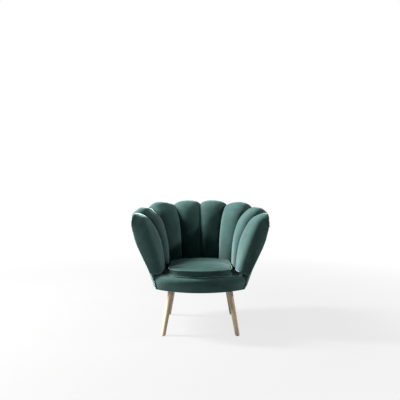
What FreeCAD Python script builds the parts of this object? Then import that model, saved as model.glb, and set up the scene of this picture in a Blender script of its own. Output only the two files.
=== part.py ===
import FreeCAD, Part
import math
import os

# Scallop club chair. Lengths are millimetres.
# The origin is on the floor under the middle of the chair, +X is right and +Y is back as
# seen by someone who faces the front of the chair, and +Z is up.

V = FreeCAD.Vector
os.makedirs("parts", exist_ok=True)

# Sheets, boards and clearances
velvet = 2.0
piping_radius = 3.0
liner = 3.0
board = 18.0
lining = 1.7
soft_gap = 0.3
seam_half_gap = 0.2
foam_gap = 1.0
foam_end_gaps = [1.6, 2.6, 4.0]    # wider clearances of the foam over the crest
joint_gap = 0.1
overrun = 6.0

# Heights
base_bottom = 265.0            # lower edge of the upholstered base
base_under_lap = 3.0           # the lower board stands this much above that edge
frame_post_height = 32.0       # between the two boards of the base
web_thickness = 1.8
deck_foam_thickness = 8.1
bend_rise = 65.0               # from the deck to where the inner face starts to lean out
crest_rise = 340.0             # from there to the seam crest at the middle of the back
arm_drop = 83.0                # how much lower the crest of the arm seams is
arm_front_drop = 99.0          # how much lower the front edge of the arm is

lower_board_height = base_bottom + base_under_lap
base_stack = 2 * board + frame_post_height
ring_top = lower_board_height + base_stack
deck_foam_low = ring_top + 2 * web_thickness + soft_gap
deck_height = deck_foam_low + deck_foam_thickness + soft_gap + lining
bend_height = deck_height + bend_rise
crest_height = bend_height + crest_rise

# Plan of the bucket at the deck: where each petal seam stands, middle of the back first
seat_half_width = 233.0
seat_back_reach = 215.0
seam_foot_x_shares = [0.0, 0.562, 0.979, 1.0]
seam_foot_y_shares = [1.0, 0.977, 0.442, -0.302]

# Plan of the seam crests
crest_half_width = 399.0
crest_back_reach = 333.0
crest_x_shares = [0.0, 0.478, 0.876, 1.0]
crest_y_shares = [1.0, 0.940, 0.577, -0.054]
crest_drop_shares = [0.0, 0.10, 0.34, 1.0]

# The roll of a petal over the crest to its seam on the outside
roll_reach = 32.0
roll_drop = 40.0

# Outside of the shell: how far its foot stands out from the seam's foot, and its bow
base_reach = 72.0
base_reach_shares = [0.90, 0.85, 0.90, 0.92]
shell_bow = 21.0
shell_bow_shares = [0.5, 0.6, 0.7, 0.1]
shell_station_shares = [0.0, 0.2, 0.4, 0.6, 0.8, 1.0]
board_edge_shares = [1.0, 0.75, 0.5, 0.25, 0.0]

# Front edge of the outside shell, from the corner of the base to the top of the arm
arm_edge_foot_x = 252.0
arm_edge_top_x = 394.0
arm_edge_top_height = crest_height - arm_front_drop
arm_edge_height_shares = [0.0, 0.368, 0.721, 1.0]
arm_edge_x_shares = [0.0, 0.38, 0.83, 1.0]
arm_edge_front_foot = 240.0
arm_edge_front_top = 217.0
arm_edge_turn_share = 0.25     # how much the outside faces forward at this edge
arm_top_roll_reach_shares = [0.0, 0.10, 0.20]
arm_top_roll_back_shares = [0.0, 0.20, 0.45]
arm_top_roll_drop_shares = [0.0, 0.10, 0.40]

# Petals
pad_depth = 30.0               # foam behind a seam
arm_front_wall = 45.0          # depth of the front petal's outer side
arm_front_wall_shares = [1.0, 1.0, 1.0, 1.0, 1.0, 0.85, 0.55, 0.28, 0.24, 0.22]
arm_front_lean_share = 0.45
lean_count = 6                 # sections from the bend to the crest
roll_count = 2                 # sections from the crest to the outside
petal_crown_shares = [0.19, 0.185, 0.18, 0.175, 0.175, 0.175, 0.175, 0.17, 0.12, 0.055]
arm_front_crown_shares = [0.29, 0.32, 0.34, 0.35, 0.345, 0.32, 0.23, 0.12, 0.08, 0.05]
arm_edge_follow_shares = [0.0, 0.0, 0.0, 0.0, 0.1, 0.35, 0.7, 1.0, 1.0, 1.0]

# Outside covers, their welt, liners, ribs and arm posts
welt_stations = 9
welt_drop = 2.5
cover_top_gap = 2.4
liner_gap = 0.5
liner_side_gap = 0.9
liner_foot_share = 0.01
liner_top_gap = 8.0
rib_setback_inside = 2.4
rib_setback_outside = 6.6
rib_top_drop = 8.0
arm_post_setback = 4.8
arm_liner_setback = 70.0

# Base frame
lower_opening_radius = 178.0
opening_half_width = 200.0
front_strip = 50.0             # wood left in front of the openings
opening_back = 185.0
opening_front_radius = 60.0
opening_back_radius = 120.0
post_side = 36.0
post_inset = 40.0
front_post_x = 120.0
front_rail_thickness = 12.0
front_rail_half_width = 170.0
frame_inset = 11.0

# Front band
band_apex_middle = 357.0
band_lean_below = 22.0
band_lean_above = 13.0
band_roll = 20.0
band_foam_depth = 22.0
band_section_shares = [0.0, 0.5, 1.0]
opening_front = band_apex_middle - band_foam_depth - front_strip

# Seat deck and webbing
web_width = 50.0
web_lap = 14.0
last_web_row_share = 0.8
web_rows_y_shares = [-0.85, -0.56, -0.27, 0.02, 0.31, 0.57]
web_columns_x_shares = [-0.70, -0.35, 0.0, 0.35, 0.70]
deck_front_margin = 15.0        # the deck reaches this far in front of the opening
deck_front_half_width = 190.0
deck_shoulder_x = 262.0
deck_shoulder_y = 236.0

# Legs
foot_spread = 215.0
hip_spread = 171.0
legs_forward = 30.0            # the middle of the legs stands this far in front of the origin
leg_foot_radius = 13.0
leg_hip_radius = 17.2
leg_edge_round = 2.0
glide_thickness = 3.0
glide_radius = 9.0
glide_pin_radius = 1.5
glide_pin_length = 15.0
plate_side = 60.0
plate_thickness = 2.5
plate_screw_spread = 22.0
bolt_radius = 4.0
bolt_in_leg = 60.0
bolt_above_plate = 38.0
bolt_hole_gap = 1.5
block_side = 66.0
screw_radius = 2.0
screw_head_radius = 4.2
screw_head_height = 1.4
plate_screw_length = 15.0
rib_screw_length = 38.0
rib_screw_edge = 12.0

# Dust cover
dust_thickness = 1.0
dust_inset = 14.0
staple_length = 10.0
staple_width = 1.2
staple_thickness = 0.5
staple_inset = 8.0
staple_count = 3

# Headers between the ribs
header_thickness = 18.0
header_height = 60.0
header_top_gap = 26.0
header_back = 4.0

# Seat cushion
cushion_half_width = 189.0     # to the outside of the piping
cushion_front = 341.0
cushion_back = 186.0
cushion_front_sagitta = 58.0
cushion_front_radius = 85.0
cushion_back_radius = 158.0
boxing_height = 34.0
boxing_draw_in_share = 0.975
cushion_belly = 3.0
cushion_crown = 12.0
crown_scale_shares = [1.0, 0.90, 0.70, 0.45, 0.20]
crown_height_shares = [0.0, 0.42, 0.78, 0.95, 1.0]
zip_half_width = 130.0
zip_height = 9.0
zip_thickness = 1.6
slider_width = 8.0
slider_thickness = 2.0

rib_count = len(crest_x_shares)     # ribs of one side with the middle one
arm_rib = rib_count - 1
front_edge = rib_count             # the shell's front edge comes after the ribs of a side
crest_level = lean_count + 1
last_level = crest_level + roll_count
halvings = 40                      # steps of the search for a height on the shell
left_or_right = ((-1, "left"), (1, "right"))
arm_stations = [(1, front_edge), (1, arm_rib), (1, arm_rib - 1)]
back_stations = [(-1, 2), (-1, 1), (1, 0), (1, 1), (1, 2)]


def line(a, b):
    return Part.makeLine(a, b)


def curve(points):
    spline = Part.BSplineCurve()
    spline.interpolate(points)
    return spline.toShape()


def arc(a, b, c):
    return Part.Arc(a, b, c).toShape()


def closed(edges):
    return Part.Wire(edges)


def loft(sections):
    """Smooth solid through the sections, with cubic surfaces at most."""
    return Part.makeLoft(sections, True, False, False, 3)


def polygon(points):
    return Part.makePolygon(points + [points[0]])


def unit(vector):
    return vector * (1.0 / vector.Length)


def mirrored(shape):
    return shape.mirror(V(0, 0, 0), V(1, 0, 0))


def tube(start, direction, radius, length):
    return Part.makeCylinder(radius, length, start, direction)


def save(name, solids):
    shape = solids[0] if len(solids) == 1 else Part.makeCompound(solids)
    shape.exportStep("parts/" + name + ".step")


def on_side(side, shape):
    return mirrored(shape) if side < 0 else shape


# Ribs: each stands in an upright plane through its seam's foot and crest

def foot(k):
    return V(seam_foot_x_shares[k] * seat_half_width, seam_foot_y_shares[k] * seat_back_reach, 0)


def crest(k):
    return V(crest_x_shares[k] * crest_half_width, crest_y_shares[k] * crest_back_reach, 0)


def outward(k):
    return unit(crest(k) - foot(k))


def across(k):
    return outward(k).cross(V(0, 0, 1))


def rib_point(k, reach, height):
    return foot(k) + outward(k) * reach + V(0, 0, height)


def crest_reach(k):
    return (crest(k) - foot(k)).Length


def crest_z(k):
    return crest_height - crest_drop_shares[k] * arm_drop


def arm_edge(height):
    """Point of the shell's front edge at a height: a cubic through four stations."""
    share = (height - base_bottom) / (arm_edge_top_height - base_bottom)
    x_share = 0.0
    for i, node in enumerate(arm_edge_height_shares):
        weight = 1.0
        for j, other in enumerate(arm_edge_height_shares):
            if j != i:
                weight *= (share - other) / (node - other)
        x_share += weight * arm_edge_x_shares[i]
    x = arm_edge_foot_x + x_share * (arm_edge_top_x - arm_edge_foot_x)
    front = arm_edge_front_foot + share * (arm_edge_front_top - arm_edge_front_foot)
    return V(x, -front, height)


def arm_edge_inward():
    return unit(V(-1, arm_edge_turn_share, 0))


def lean_angle(level):
    return math.radians(90.0 * (level - 1) / lean_count)


def seam(k, level, foot_z):
    """Point of seam k at a level: 0 foot, 1 bend, then the lean up to the crest, then the roll."""
    if k == front_edge:
        inside = arm_edge_inward() * (velvet + soft_gap)
        if level == 0:
            return arm_edge(foot_z) + inside
        if level == 1:
            return arm_edge(bend_height) + inside
        rise = arm_edge_top_height - bend_height
        if level <= crest_level:
            angle = lean_angle(level)
            return arm_edge(bend_height + rise * math.sin(angle)) + inside
        step = level - crest_level
        top = arm_edge(arm_edge_top_height) + inside
        return top + V(
            arm_top_roll_reach_shares[step] * roll_reach,
            arm_top_roll_back_shares[step] * roll_reach,
            -arm_top_roll_drop_shares[step] * roll_drop,
        )
    if level == 0:
        return rib_point(k, 0, foot_z)
    if level == 1:
        return rib_point(k, 0, bend_height)
    rise = crest_z(k) - bend_height
    if level <= crest_level:
        angle = lean_angle(level)
        return rib_point(k, crest_reach(k) * (1 - math.cos(angle)), bend_height + rise * math.sin(angle))
    angle = math.radians(90.0 * (level - crest_level) / roll_count)
    reach = crest_reach(k) + roll_reach * math.sin(angle)
    return rib_point(k, reach, crest_z(k) - roll_drop * (1 - math.cos(angle)))


def seam_travel(k, level, foot_z):
    """Direction in which a seam runs at a level, from the deck over the crest to the outside."""
    if level == 0:
        return V(0, 0, 1)
    if level == last_level:
        return V(0, 0, -1)
    own = unit(seam(k, level + 1, foot_z) - seam(k, level - 1, foot_z))
    if k == front_edge:
        share = arm_edge_follow_shares[level]
        return unit(own * (1 - share) + seam_travel(k - 1, level, foot_z) * share)
    return own


def petal_normal(k, level, foot_z):
    """The way petal k, between seams k and k + 1, faces at a level."""
    a = seam(k, level, foot_z)
    b = seam(k + 1, level, foot_z)
    travel = seam_travel(k, level, foot_z) + seam_travel(k + 1, level, foot_z)
    return unit((b - a).cross(travel))


def wall_direction(k, petal, level, foot_z):
    """Direction from seam k into the body, in the plane of the petal's section."""
    normal = petal_normal(petal, level, foot_z)
    a = seam(petal, level, foot_z)
    b = seam(petal + 1, level, foot_z)
    chord = unit(b - a)
    if k == front_edge:
        return unit(normal * -arm_front_lean_share - chord)
    direction = unit(chord.cross(normal).cross(across(k)))
    return direction * (-1 if direction.dot(normal) > 0 else 1)


def wall_depth(k, level):
    if k == front_edge:
        return arm_front_wall * arm_front_wall_shares[level]
    return pad_depth


def petal_corners(petal, level, foot_z, inset):
    """Corners of a petal's section drawn in by inset, with the top of its crowned face in the middle."""
    a = seam(petal, level, foot_z)
    b = seam(petal + 1, level, foot_z)
    chord = b - a
    shares = arm_front_crown_shares if petal + 1 == front_edge else petal_crown_shares
    crown = chord.Length * shares[level]
    middle = (a + b) * 0.5 + petal_normal(petal, level, foot_z) * (crown - inset)
    wall_a = wall_direction(petal, petal, level, foot_z)
    wall_b = wall_direction(petal + 1, petal, level, foot_z)
    inset_b = inset
    if petal + 1 == front_edge:
        inset_b = inset * math.hypot(1, arm_front_lean_share) / arm_front_lean_share
    start_a = a + unit(chord) * (seam_half_gap + inset)
    start_b = b - unit(chord) * (seam_half_gap + inset_b)
    front_a = start_a + wall_a * inset
    front_b = start_b + wall_b * inset
    back_a = start_a + wall_a * wall_depth(petal, level)
    back_b = start_b + wall_b * wall_depth(petal + 1, level)
    return front_a, middle, front_b, back_b, back_a


def petal_foam(petal):
    """Solid pad: two side walls, a crowned face and a straight back. It ends on the roll."""
    foot_z = deck_height + soft_gap
    sections = []
    for level in range(last_level):
        from_end = level - (last_level - len(foam_end_gaps))
        gap = foam_end_gaps[from_end] if from_end >= 0 else foam_gap
        front_a, middle, front_b, back_b, back_a = petal_corners(petal, level, foot_z, velvet + gap)
        sections.append(closed([
            arc(front_a, middle, front_b),
            line(front_b, back_b),
            line(back_b, back_a),
            line(back_a, front_a),
        ]))
    return loft(sections)


def petal_cover(petal):
    """Velvet channel round the face and side walls, open at the back."""
    foot_z = deck_height + soft_gap
    sections = []
    for level in range(last_level + 1):
        front_a, middle, front_b, back_b, back_a = petal_corners(petal, level, foot_z, 0)
        in_a, in_middle, in_b, in_back_b, in_back_a = petal_corners(petal, level, foot_z, velvet)
        sections.append(closed([
            arc(front_a, middle, front_b),
            line(front_b, back_b),
            line(back_b, in_back_b),
            line(in_back_b, in_b),
            arc(in_b, in_middle, in_a),
            line(in_a, in_back_a),
            line(in_back_a, back_a),
            line(back_a, front_a),
        ]))
    return loft(sections)


# Outside of the shell

def shell_foot_reach(k):
    return base_reach * base_reach_shares[k]


def shell_top(k):
    return seam(k, last_level, deck_height).z


def shell_point(k, share, inset):
    """Point of the shell's outside above rib k, or of its front edge, moved inward by inset."""
    if k == front_edge:
        height = base_bottom + share * (arm_edge_top_height - base_bottom)
        return arm_edge(height) - V(inset, 0, 0)
    start = V(shell_foot_reach(k), base_bottom, 0)
    end = V(crest_reach(k) + roll_reach, shell_top(k), 0)
    run = end - start
    normal = unit(V(run.y, -run.x, 0))
    bow = shell_bow * shell_bow_shares[k] * 4 * share * (1 - share)
    flat = start + run * share + normal * (bow - inset)
    return rib_point(k, flat.x, flat.y)


def shell_height_share(k, height):
    """Share along the shell's profile at which it reaches a height."""
    low = 0.0
    high = 1.0
    for _ in range(halvings):
        middle = (low + high) / 2
        if shell_point(k, middle, 0).z < height:
            low = middle
        else:
            high = middle
    return low


def shell_plan(k, height, inset):
    """Point of the shell's outside at a height, moved inward level by inset."""
    point = shell_point(k, shell_height_share(k, height), 0)
    if k == front_edge:
        return point + arm_edge_inward() * inset
    return point - outward(k) * inset


def shell_top_share(k, top_gap):
    """Share along the shell's profile at which a sheet ends, a gap under the petals."""
    end = arm_edge_top_height if k == front_edge else shell_top(k)
    return (shell_top(k) - top_gap - base_bottom) / (end - base_bottom)


def side_point(side, point):
    return V(side * point.x, point.y, point.z)


def shell_profile(side, k, outer_inset, inner_inset, low_share, top_gap):
    """Thin closed outline of a sheet that follows the shell above rib k."""
    top_share = shell_top_share(k, top_gap)
    outer = []
    inner = []
    for station in shell_station_shares:
        share = low_share + (top_share - low_share) * station
        outer.append(side_point(side, shell_point(k, share, outer_inset)))
        inner.append(side_point(side, shell_point(k, share, inner_inset)))
    return closed([
        curve(outer),
        line(outer[-1], inner[-1]),
        curve(list(reversed(inner))),
        line(inner[0], outer[0]),
    ])


def outside_cover(stations):
    sections = [shell_profile(side, k, 0, velvet, 0, cover_top_gap) for side, k in stations]
    return loft(sections)


def outer_liner(k):
    inset = velvet + soft_gap
    sections = []
    for rib_index in (k, k + 1):
        sections.append(shell_profile(1, rib_index, inset, inset + liner, liner_foot_share, liner_top_gap))
    panel = Part.makeLoft(sections, True, True)
    if k + 1 < front_edge:
        return panel
    front = arm_edge_front_foot - arm_liner_setback
    room = Part.makeBox(2 * crest_half_width, 2 * front, crest_height, V(0, -front, 0))
    return panel.common(room)


# Frame of the shell

def seam_inset_point(k, level, foot_z, depth):
    """Point of rib k's plane that lies a depth behind its seam."""
    travel = seam_travel(k, level, foot_z)
    inward = unit(travel.cross(across(k)))
    if inward.dot(outward(k)) < 0 and level < crest_level:
        inward = inward * -1
    if inward.z > 0 and level >= crest_level:
        inward = inward * -1
    return seam(k, level, foot_z) + inward * depth


def rib_insets():
    """How far a rib's edges lie behind the seam and behind the outside of the shell."""
    inside = pad_depth + liner_gap + liner + soft_gap + rib_setback_inside
    outside = velvet + soft_gap + liner + soft_gap + rib_setback_outside
    return inside, outside


def rib(k):
    inside, outside = rib_insets()
    inner = [seam_inset_point(k, level, ring_top, inside) for level in range(crest_level)]
    top_share = shell_height_share(k, shell_top(k) - rib_top_drop)
    foot_share = shell_height_share(k, ring_top)
    outer = []
    for station in board_edge_shares:
        share = foot_share + (top_share - foot_share) * station
        outer.append(shell_point(k, share, outside))
    outer[-1] = outer[-1] + V(0, 0, ring_top - outer[-1].z)
    outline = closed([curve(inner), line(inner[-1], outer[0]), curve(outer), line(outer[-1], inner[0])])
    half = across(k) * (board / 2)
    face = Part.Face(outline)
    face.translate(half)
    return face.extrude(half * -2)


def liner_section(petal, level, foot_z):
    a = seam(petal, level, foot_z)
    b = seam(petal + 1, level, foot_z)
    gap = unit(b - a) * liner_side_gap
    wall_a = wall_direction(petal, petal, level, foot_z)
    wall_b = wall_direction(petal + 1, petal, level, foot_z)
    start_a = a + gap + wall_a * (wall_depth(petal, level) + liner_gap)
    start_b = b - gap + wall_b * (wall_depth(petal + 1, level) + liner_gap)
    thickness = petal_normal(petal, level, foot_z) * -liner
    return polygon([start_a, start_b, start_b + thickness, start_a + thickness])


def inner_liner(petal):
    sections = [liner_section(petal, level, ring_top + soft_gap) for level in range(crest_level)]
    return loft(sections)


def header_outline(k):
    top = crest_z(k) - pad_depth - header_top_gap
    back = crest_reach(k) - header_back
    corners = [(back - header_thickness, top - header_height), (back, top - header_height),
               (back, top), (back - header_thickness, top)]
    return polygon([rib_point(k, reach, height) for reach, height in corners])


def rib_slab(k):
    half = across(k) * (board / 2 + joint_gap)
    low = rib_point(k, -crest_height, 0)
    high = rib_point(k, crest_height, 2 * crest_height)
    up = V(0, 0, high.z)
    face = Part.Face(polygon([low, high - up, high, low + up]))
    face.translate(half)
    return face.extrude(half * -2)


def header(k):
    solid = Part.makeLoft([header_outline(k), header_outline(k + 1)], True, True)
    return solid.cut(rib_slab(k)).cut(rib_slab(k + 1))


def arm_post_plane_y():
    return -arm_edge_front_foot / 2


def crossing(a, b, y):
    share = (y - a.y) / (b.y - a.y)
    return a + (b - a) * share


def arm_post_sides():
    """Inner and outer edges of the arm post, as points from its foot up and from its top down."""
    y = arm_post_plane_y()
    inside = liner + liner_gap + soft_gap + arm_post_setback
    outside = velvet + liner + soft_gap * 2 + arm_post_setback
    inner = []
    for level in range(crest_level):
        wall_a = wall_direction(arm_rib, arm_rib, level, ring_top) * pad_depth
        wall_b = wall_direction(front_edge, arm_rib, level, ring_top) * wall_depth(front_edge, level)
        a = seam(arm_rib, level, ring_top) + wall_a
        b = seam(front_edge, level, ring_top) + wall_b
        back = petal_normal(arm_rib, level, ring_top) * -inside
        inner.append(crossing(a + back, b + back, y))
    top_z = inner[-1].z
    outer = []
    for station in board_edge_shares:
        height = ring_top + (top_z - ring_top) * station
        a = shell_plan(arm_rib, height, outside)
        b = shell_plan(front_edge, height, outside)
        point = crossing(a, b, y)
        outer.append(V(point.x, y, height))
    return [V(point.x, y, point.z) for point in inner], outer


def arm_post():
    """Upright board across the arm behind its front petal."""
    inner, outer = arm_post_sides()
    outline = closed([curve(inner), line(inner[-1], outer[0]), curve(outer), line(outer[-1], inner[0])])
    face = Part.Face(outline)
    face.translate(V(0, board / 2, 0))
    return face.extrude(V(0, -board, 0))


# Base frame

def frame_outline(height, inset, front_inset):
    """Closed plan of the base: straight between the ribs, an arc at the front."""
    right = [shell_plan(k, height, inset) for k in range(front_edge)]
    corner = shell_plan(front_edge, height, inset) + V(0, front_inset, 0)
    right.append(corner)
    left = [side_point(-1, point) for point in right[1:]]
    edges = []
    chain = list(reversed(left)) + right
    for a, b in zip(chain, chain[1:]):
        edges.append(line(V(a.x, a.y, height), V(b.x, b.y, height)))
    apex = V(0, -band_apex(height) + front_inset, height)
    edges.append(arc(chain[-1], apex, chain[0]))
    return closed(edges)


def band_apex(height):
    share = (height - base_bottom) / (deck_height - base_bottom)
    below = band_lean_below * (1 - share) * (1 - 2 * share)
    above = band_lean_above * share * (2 * share - 1)
    return band_apex_middle - below + above


def slab(outline, thickness):
    return Part.Face(outline).extrude(V(0, 0, thickness))


def leg_hips():
    hips = []
    for front in (-1, 1):
        for side in (-1, 1):
            hips.append(V(side * hip_spread, front * hip_spread - legs_forward, 0))
    return hips


def leg_axis(side, front):
    ground = V(side * foot_spread, front * foot_spread - legs_forward, 0)
    hip = V(side * hip_spread, front * hip_spread - legs_forward, lower_board_height - plate_thickness)
    return ground, hip


def bolt_body(side, front, radius, low, high):
    """Round bar along a leg's axis, from low under its top to high above it."""
    ground, hip = leg_axis(side, front)
    direction = unit(hip - ground)
    return tube(hip - direction * low, direction, radius, low + high)


def glide_pin(ground, grow):
    return tube(V(ground.x, ground.y, 0), V(0, 0, 1), glide_pin_radius + grow, glide_pin_length + grow)


def leg(side, front):
    ground, hip = leg_axis(side, front)
    direction = unit(hip - ground)
    length = (hip - ground).Length
    flare = (leg_hip_radius - leg_foot_radius) / length
    start = ground - direction * leg_hip_radius
    end_radius = leg_hip_radius + flare * leg_hip_radius
    start_radius = leg_foot_radius - flare * leg_hip_radius
    cone = Part.makeCone(start_radius, end_radius, length + 2 * leg_hip_radius, start, direction)
    room = 2 * foot_spread
    height = hip.z - glide_thickness
    keep = Part.makeBox(2 * room, 2 * room, height, V(-room, -room, glide_thickness))
    body = cone.common(keep)
    lowest = [edge for edge in body.Edges if edge.BoundBox.ZMax < glide_thickness + joint_gap]
    body = body.makeFillet(leg_edge_round, lowest)
    pin = glide_pin(ground, joint_gap)
    body = body.cut(pin)
    return body.cut(bolt_body(side, front, bolt_radius + joint_gap, bolt_in_leg + joint_gap, bolt_in_leg))


def glide(side, front):
    ground, _ = leg_axis(side, front)
    disc = tube(V(ground.x, ground.y, 0), V(0, 0, 1), glide_radius, glide_thickness)
    return disc.fuse(glide_pin(ground, 0)).removeSplitter()


def hip_box(hip, side_length, low, high):
    corner = V(hip.x - side_length / 2, hip.y - side_length / 2, low)
    return Part.makeBox(side_length, side_length, high - low, corner)


def plate_screw_places(hip):
    places = []
    for dx in (-1, 1):
        for dy in (-1, 1):
            places.append(V(hip.x + dx * plate_screw_spread, hip.y + dy * plate_screw_spread, 0))
    return places


def upright_screw(place, head_z, length):
    """Screw with its head below head_z and its shank going up."""
    start = V(place.x, place.y, head_z - screw_head_height)
    head = tube(start, V(0, 0, 1), screw_head_radius, screw_head_height)
    shank = tube(start, V(0, 0, 1), screw_radius, length + screw_head_height)
    return head.fuse(shank).removeSplitter()


def screw_hole(place, low, high):
    return tube(V(place.x, place.y, low), V(0, 0, 1), screw_radius + joint_gap, high - low)


def bolt_hole(side, front):
    return bolt_body(side, front, bolt_radius + bolt_hole_gap, overrun, 2 * bolt_above_plate)


def rounded_box(half_width, front, back, front_radius, back_radius, low, high):
    block = Part.makeBox(2 * half_width, front + back, high - low, V(-half_width, -front, low))
    upright = [edge for edge in block.Edges if edge.BoundBox.ZLength > (high - low) / 2]
    front_edges = [edge for edge in upright if edge.BoundBox.YMax < 0]
    block = block.makeFillet(front_radius, front_edges)
    middle_z = (low + high) / 2
    back_edges = []
    for edge in block.Edges:
        box = edge.BoundBox
        at_back = box.YMin > back - joint_gap and box.XLength < joint_gap
        if at_back and abs(box.Center.z - middle_z) < joint_gap and box.ZLength > (high - low) / 2:
            back_edges.append(edge)
    return block.makeFillet(back_radius, back_edges)


def rib_screw_places(k):
    inside, outside = rib_insets()
    outer = (shell_plan(k, ring_top, outside) - rib_point(k, 0, ring_top)).Length
    return [rib_point(k, inside + rib_screw_edge, 0), rib_point(k, outer - rib_screw_edge, 0)]


def arm_post_screw_place():
    inner, outer = arm_post_sides()
    return (inner[0] + outer[-1]) * 0.5


def all_rib_screws():
    places = []
    for k in range(front_edge):
        for place in rib_screw_places(k):
            places.append(place)
            if k > 0:
                places.append(side_point(-1, place))
    place = arm_post_screw_place()
    return places + [place, side_point(-1, place)]


def upper_opening(extra):
    return rounded_box(
        opening_half_width - extra, opening_front - extra, opening_back - extra,
        opening_front_radius, opening_back_radius,
        ring_top - board - overrun, ring_top + overrun,
    )


def lower_board():
    solid = slab(frame_outline(lower_board_height, frame_inset, band_foam_depth), board)
    middle = V(0, -legs_forward, lower_board_height - overrun)
    solid = solid.cut(Part.makeCylinder(lower_opening_radius, board + 2 * overrun, middle))
    for front in (-1, 1):
        for side in (-1, 1):
            solid = solid.cut(bolt_hole(side, front))
    for hip in leg_hips():
        for place in plate_screw_places(hip):
            top = lower_board_height - plate_thickness + plate_screw_length + joint_gap
            solid = solid.cut(screw_hole(place, lower_board_height - overrun, top))
    return solid


def upper_board():
    height = ring_top - board
    flat = frame_outline(height, frame_inset, band_foam_depth)
    solid = slab(flat, board).cut(upper_opening(0))
    for place in all_rib_screws():
        solid = solid.cut(screw_hole(place, height - overrun, ring_top + overrun))
    return solid


def frame_posts():
    low = lower_board_height + board
    high = ring_top - board
    posts = []
    for k in range(front_edge):
        middle = shell_plan(k, lower_board_height, frame_inset + post_inset)
        box = hip_box(middle, post_side, low, high)
        box.rotate(V(middle.x, middle.y, 0), V(0, 0, 1), math.degrees(math.atan2(outward(k).y, outward(k).x)))
        posts.append(box)
        if k > 0:
            posts.append(mirrored(box))
    centre, radius = front_rail_arc()
    reach = front_post_x + post_side / 2
    y = centre.y - math.sqrt((radius - front_rail_thickness) ** 2 - reach ** 2) + post_side / 2
    for side in (-1, 1):
        posts.append(hip_box(V(side * front_post_x, y, 0), post_side, low, high))
    return posts


def corner_block(side, front):
    hip = leg_axis(side, front)[1]
    block = hip_box(hip, block_side, lower_board_height + board, ring_top - board)
    return block.cut(bolt_hole(side, front))


def front_rail_arc():
    """Centre and radius of the bowed front of the base boards."""
    corner = shell_plan(front_edge, lower_board_height, frame_inset) + V(0, band_foam_depth, 0)
    apex = -band_apex(lower_board_height) + band_foam_depth
    sagitta = corner.y - apex
    radius = (corner.x * corner.x + sagitta * sagitta) / (2 * sagitta)
    return V(0, apex + radius, lower_board_height + board), radius


def front_rail():
    centre, radius = front_rail_arc()
    rise = ring_top - board - centre.z
    outer = Part.makeCylinder(radius, rise, centre)
    inner = Part.makeCylinder(radius - front_rail_thickness, rise, centre)
    corner = V(-front_rail_half_width, centre.y - radius, centre.z)
    keep = Part.makeBox(2 * front_rail_half_width, front_rail_half_width, rise, corner)
    return outer.cut(inner).common(keep)


# Front band

def band_block(inset, back_extra, low_extra):
    """Bowed front of the base, drawn in by inset and lengthened to the back and downward."""
    wires = []
    high = deck_height - inset
    for share in band_section_shares:
        height = base_bottom + (high - base_bottom) * share
        corner = arm_edge(height)
        a = V(corner.x - inset, corner.y + back_extra, height)
        b = V(-a.x, a.y, height)
        side_front = V(a.x, corner.y, height)
        side_left = V(b.x, corner.y, height)
        apex = V(0, -band_apex(height) + inset, height)
        edges = [arc(side_left, apex, side_front)]
        if back_extra > 0:
            edges += [line(side_front, a), line(a, b), line(b, side_left)]
        else:
            edges += [line(side_front, side_left)]
        wires.append(closed(edges))
    solid = loft(wires)
    rim = []
    for edge in solid.Edges:
        box = edge.BoundBox
        if box.ZMin > high - joint_gap and box.YLength > band_roll and box.XLength > seat_half_width:
            rim.append(edge)
    solid = solid.makeFillet(band_roll - inset, rim)
    if low_extra > 0:
        solid = solid.fuse(Part.Face(wires[0]).extrude(V(0, 0, -low_extra)))
    return solid


def deck_plan(grow, height):
    """Plan of the deck between the backs of the petals and the front band."""
    foot_z = ring_top
    front = opening_front + deck_front_margin
    points = [V(deck_front_half_width + grow, -front - grow, height),
              V(deck_shoulder_x + grow, -deck_shoulder_y - grow, height)]
    back = seam(front_edge, 0, foot_z) + wall_direction(front_edge, arm_rib, 0, foot_z) * arm_front_wall
    points.append(V(back.x + grow, back.y, height))
    for k in (3, 2, 1):
        point = rib_point(k, pad_depth + grow, height)
        points.append(point)
    middle = rib_point(0, pad_depth + grow, height)
    left = [side_point(-1, point) for point in reversed(points)]
    return polygon(points + [middle] + left)


def front_band_cover():
    outside = band_block(0, 0, 0)
    inside = band_block(velvet, 2 * overrun, overrun)
    deck = slab(deck_plan(soft_gap, ring_top + overrun), base_stack)
    return outside.cut(inside).cut(deck)


def front_band_foam():
    block = band_block(velvet + foam_gap, 0, 0)
    front_inset = band_foam_depth - soft_gap
    frame = slab(frame_outline(lower_board_height, 0, front_inset), base_stack + overrun + soft_gap)
    frame.translate(V(0, 0, -overrun))
    upper = slab(frame_outline(ring_top - board, 0, front_inset), board + soft_gap)
    deck = slab(deck_plan(soft_gap, ring_top), base_stack)
    return block.cut(frame).cut(upper).cut(deck)


# Seat deck

def web_rows():
    strips = []
    for share in web_rows_y_shares:
        half = opening_half_width + web_lap
        if share == web_rows_y_shares[-1]:
            half *= last_web_row_share
        y = share * opening_front
        strips.append(Part.makeBox(2 * half, web_width, web_thickness, V(-half, y - web_width / 2, ring_top)))
    return strips


def web_columns():
    strips = []
    low = ring_top + web_thickness
    front = opening_front + web_lap
    back = opening_back + web_lap
    for share in web_columns_x_shares:
        x = share * opening_half_width
        strips.append(Part.makeBox(web_width, front + back, web_thickness, V(x - web_width / 2, -front, low)))
    return strips


def deck_foam():
    return slab(deck_plan(0, deck_foam_low), deck_foam_thickness)


def deck_cover():
    return slab(deck_plan(0, deck_height - lining), lining)


# Dust cover

def dust_outline(extra):
    return frame_outline(lower_board_height, dust_inset + extra, band_foam_depth + extra)


def dust_cover():
    flat = dust_outline(0)
    top = lower_board_height
    solid = slab(flat, dust_thickness)
    solid.translate(V(0, 0, -dust_thickness))
    for hip in leg_hips():
        solid = solid.cut(hip_box(hip, plate_side + 2 * soft_gap, top - overrun, top + overrun))
    return solid


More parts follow.
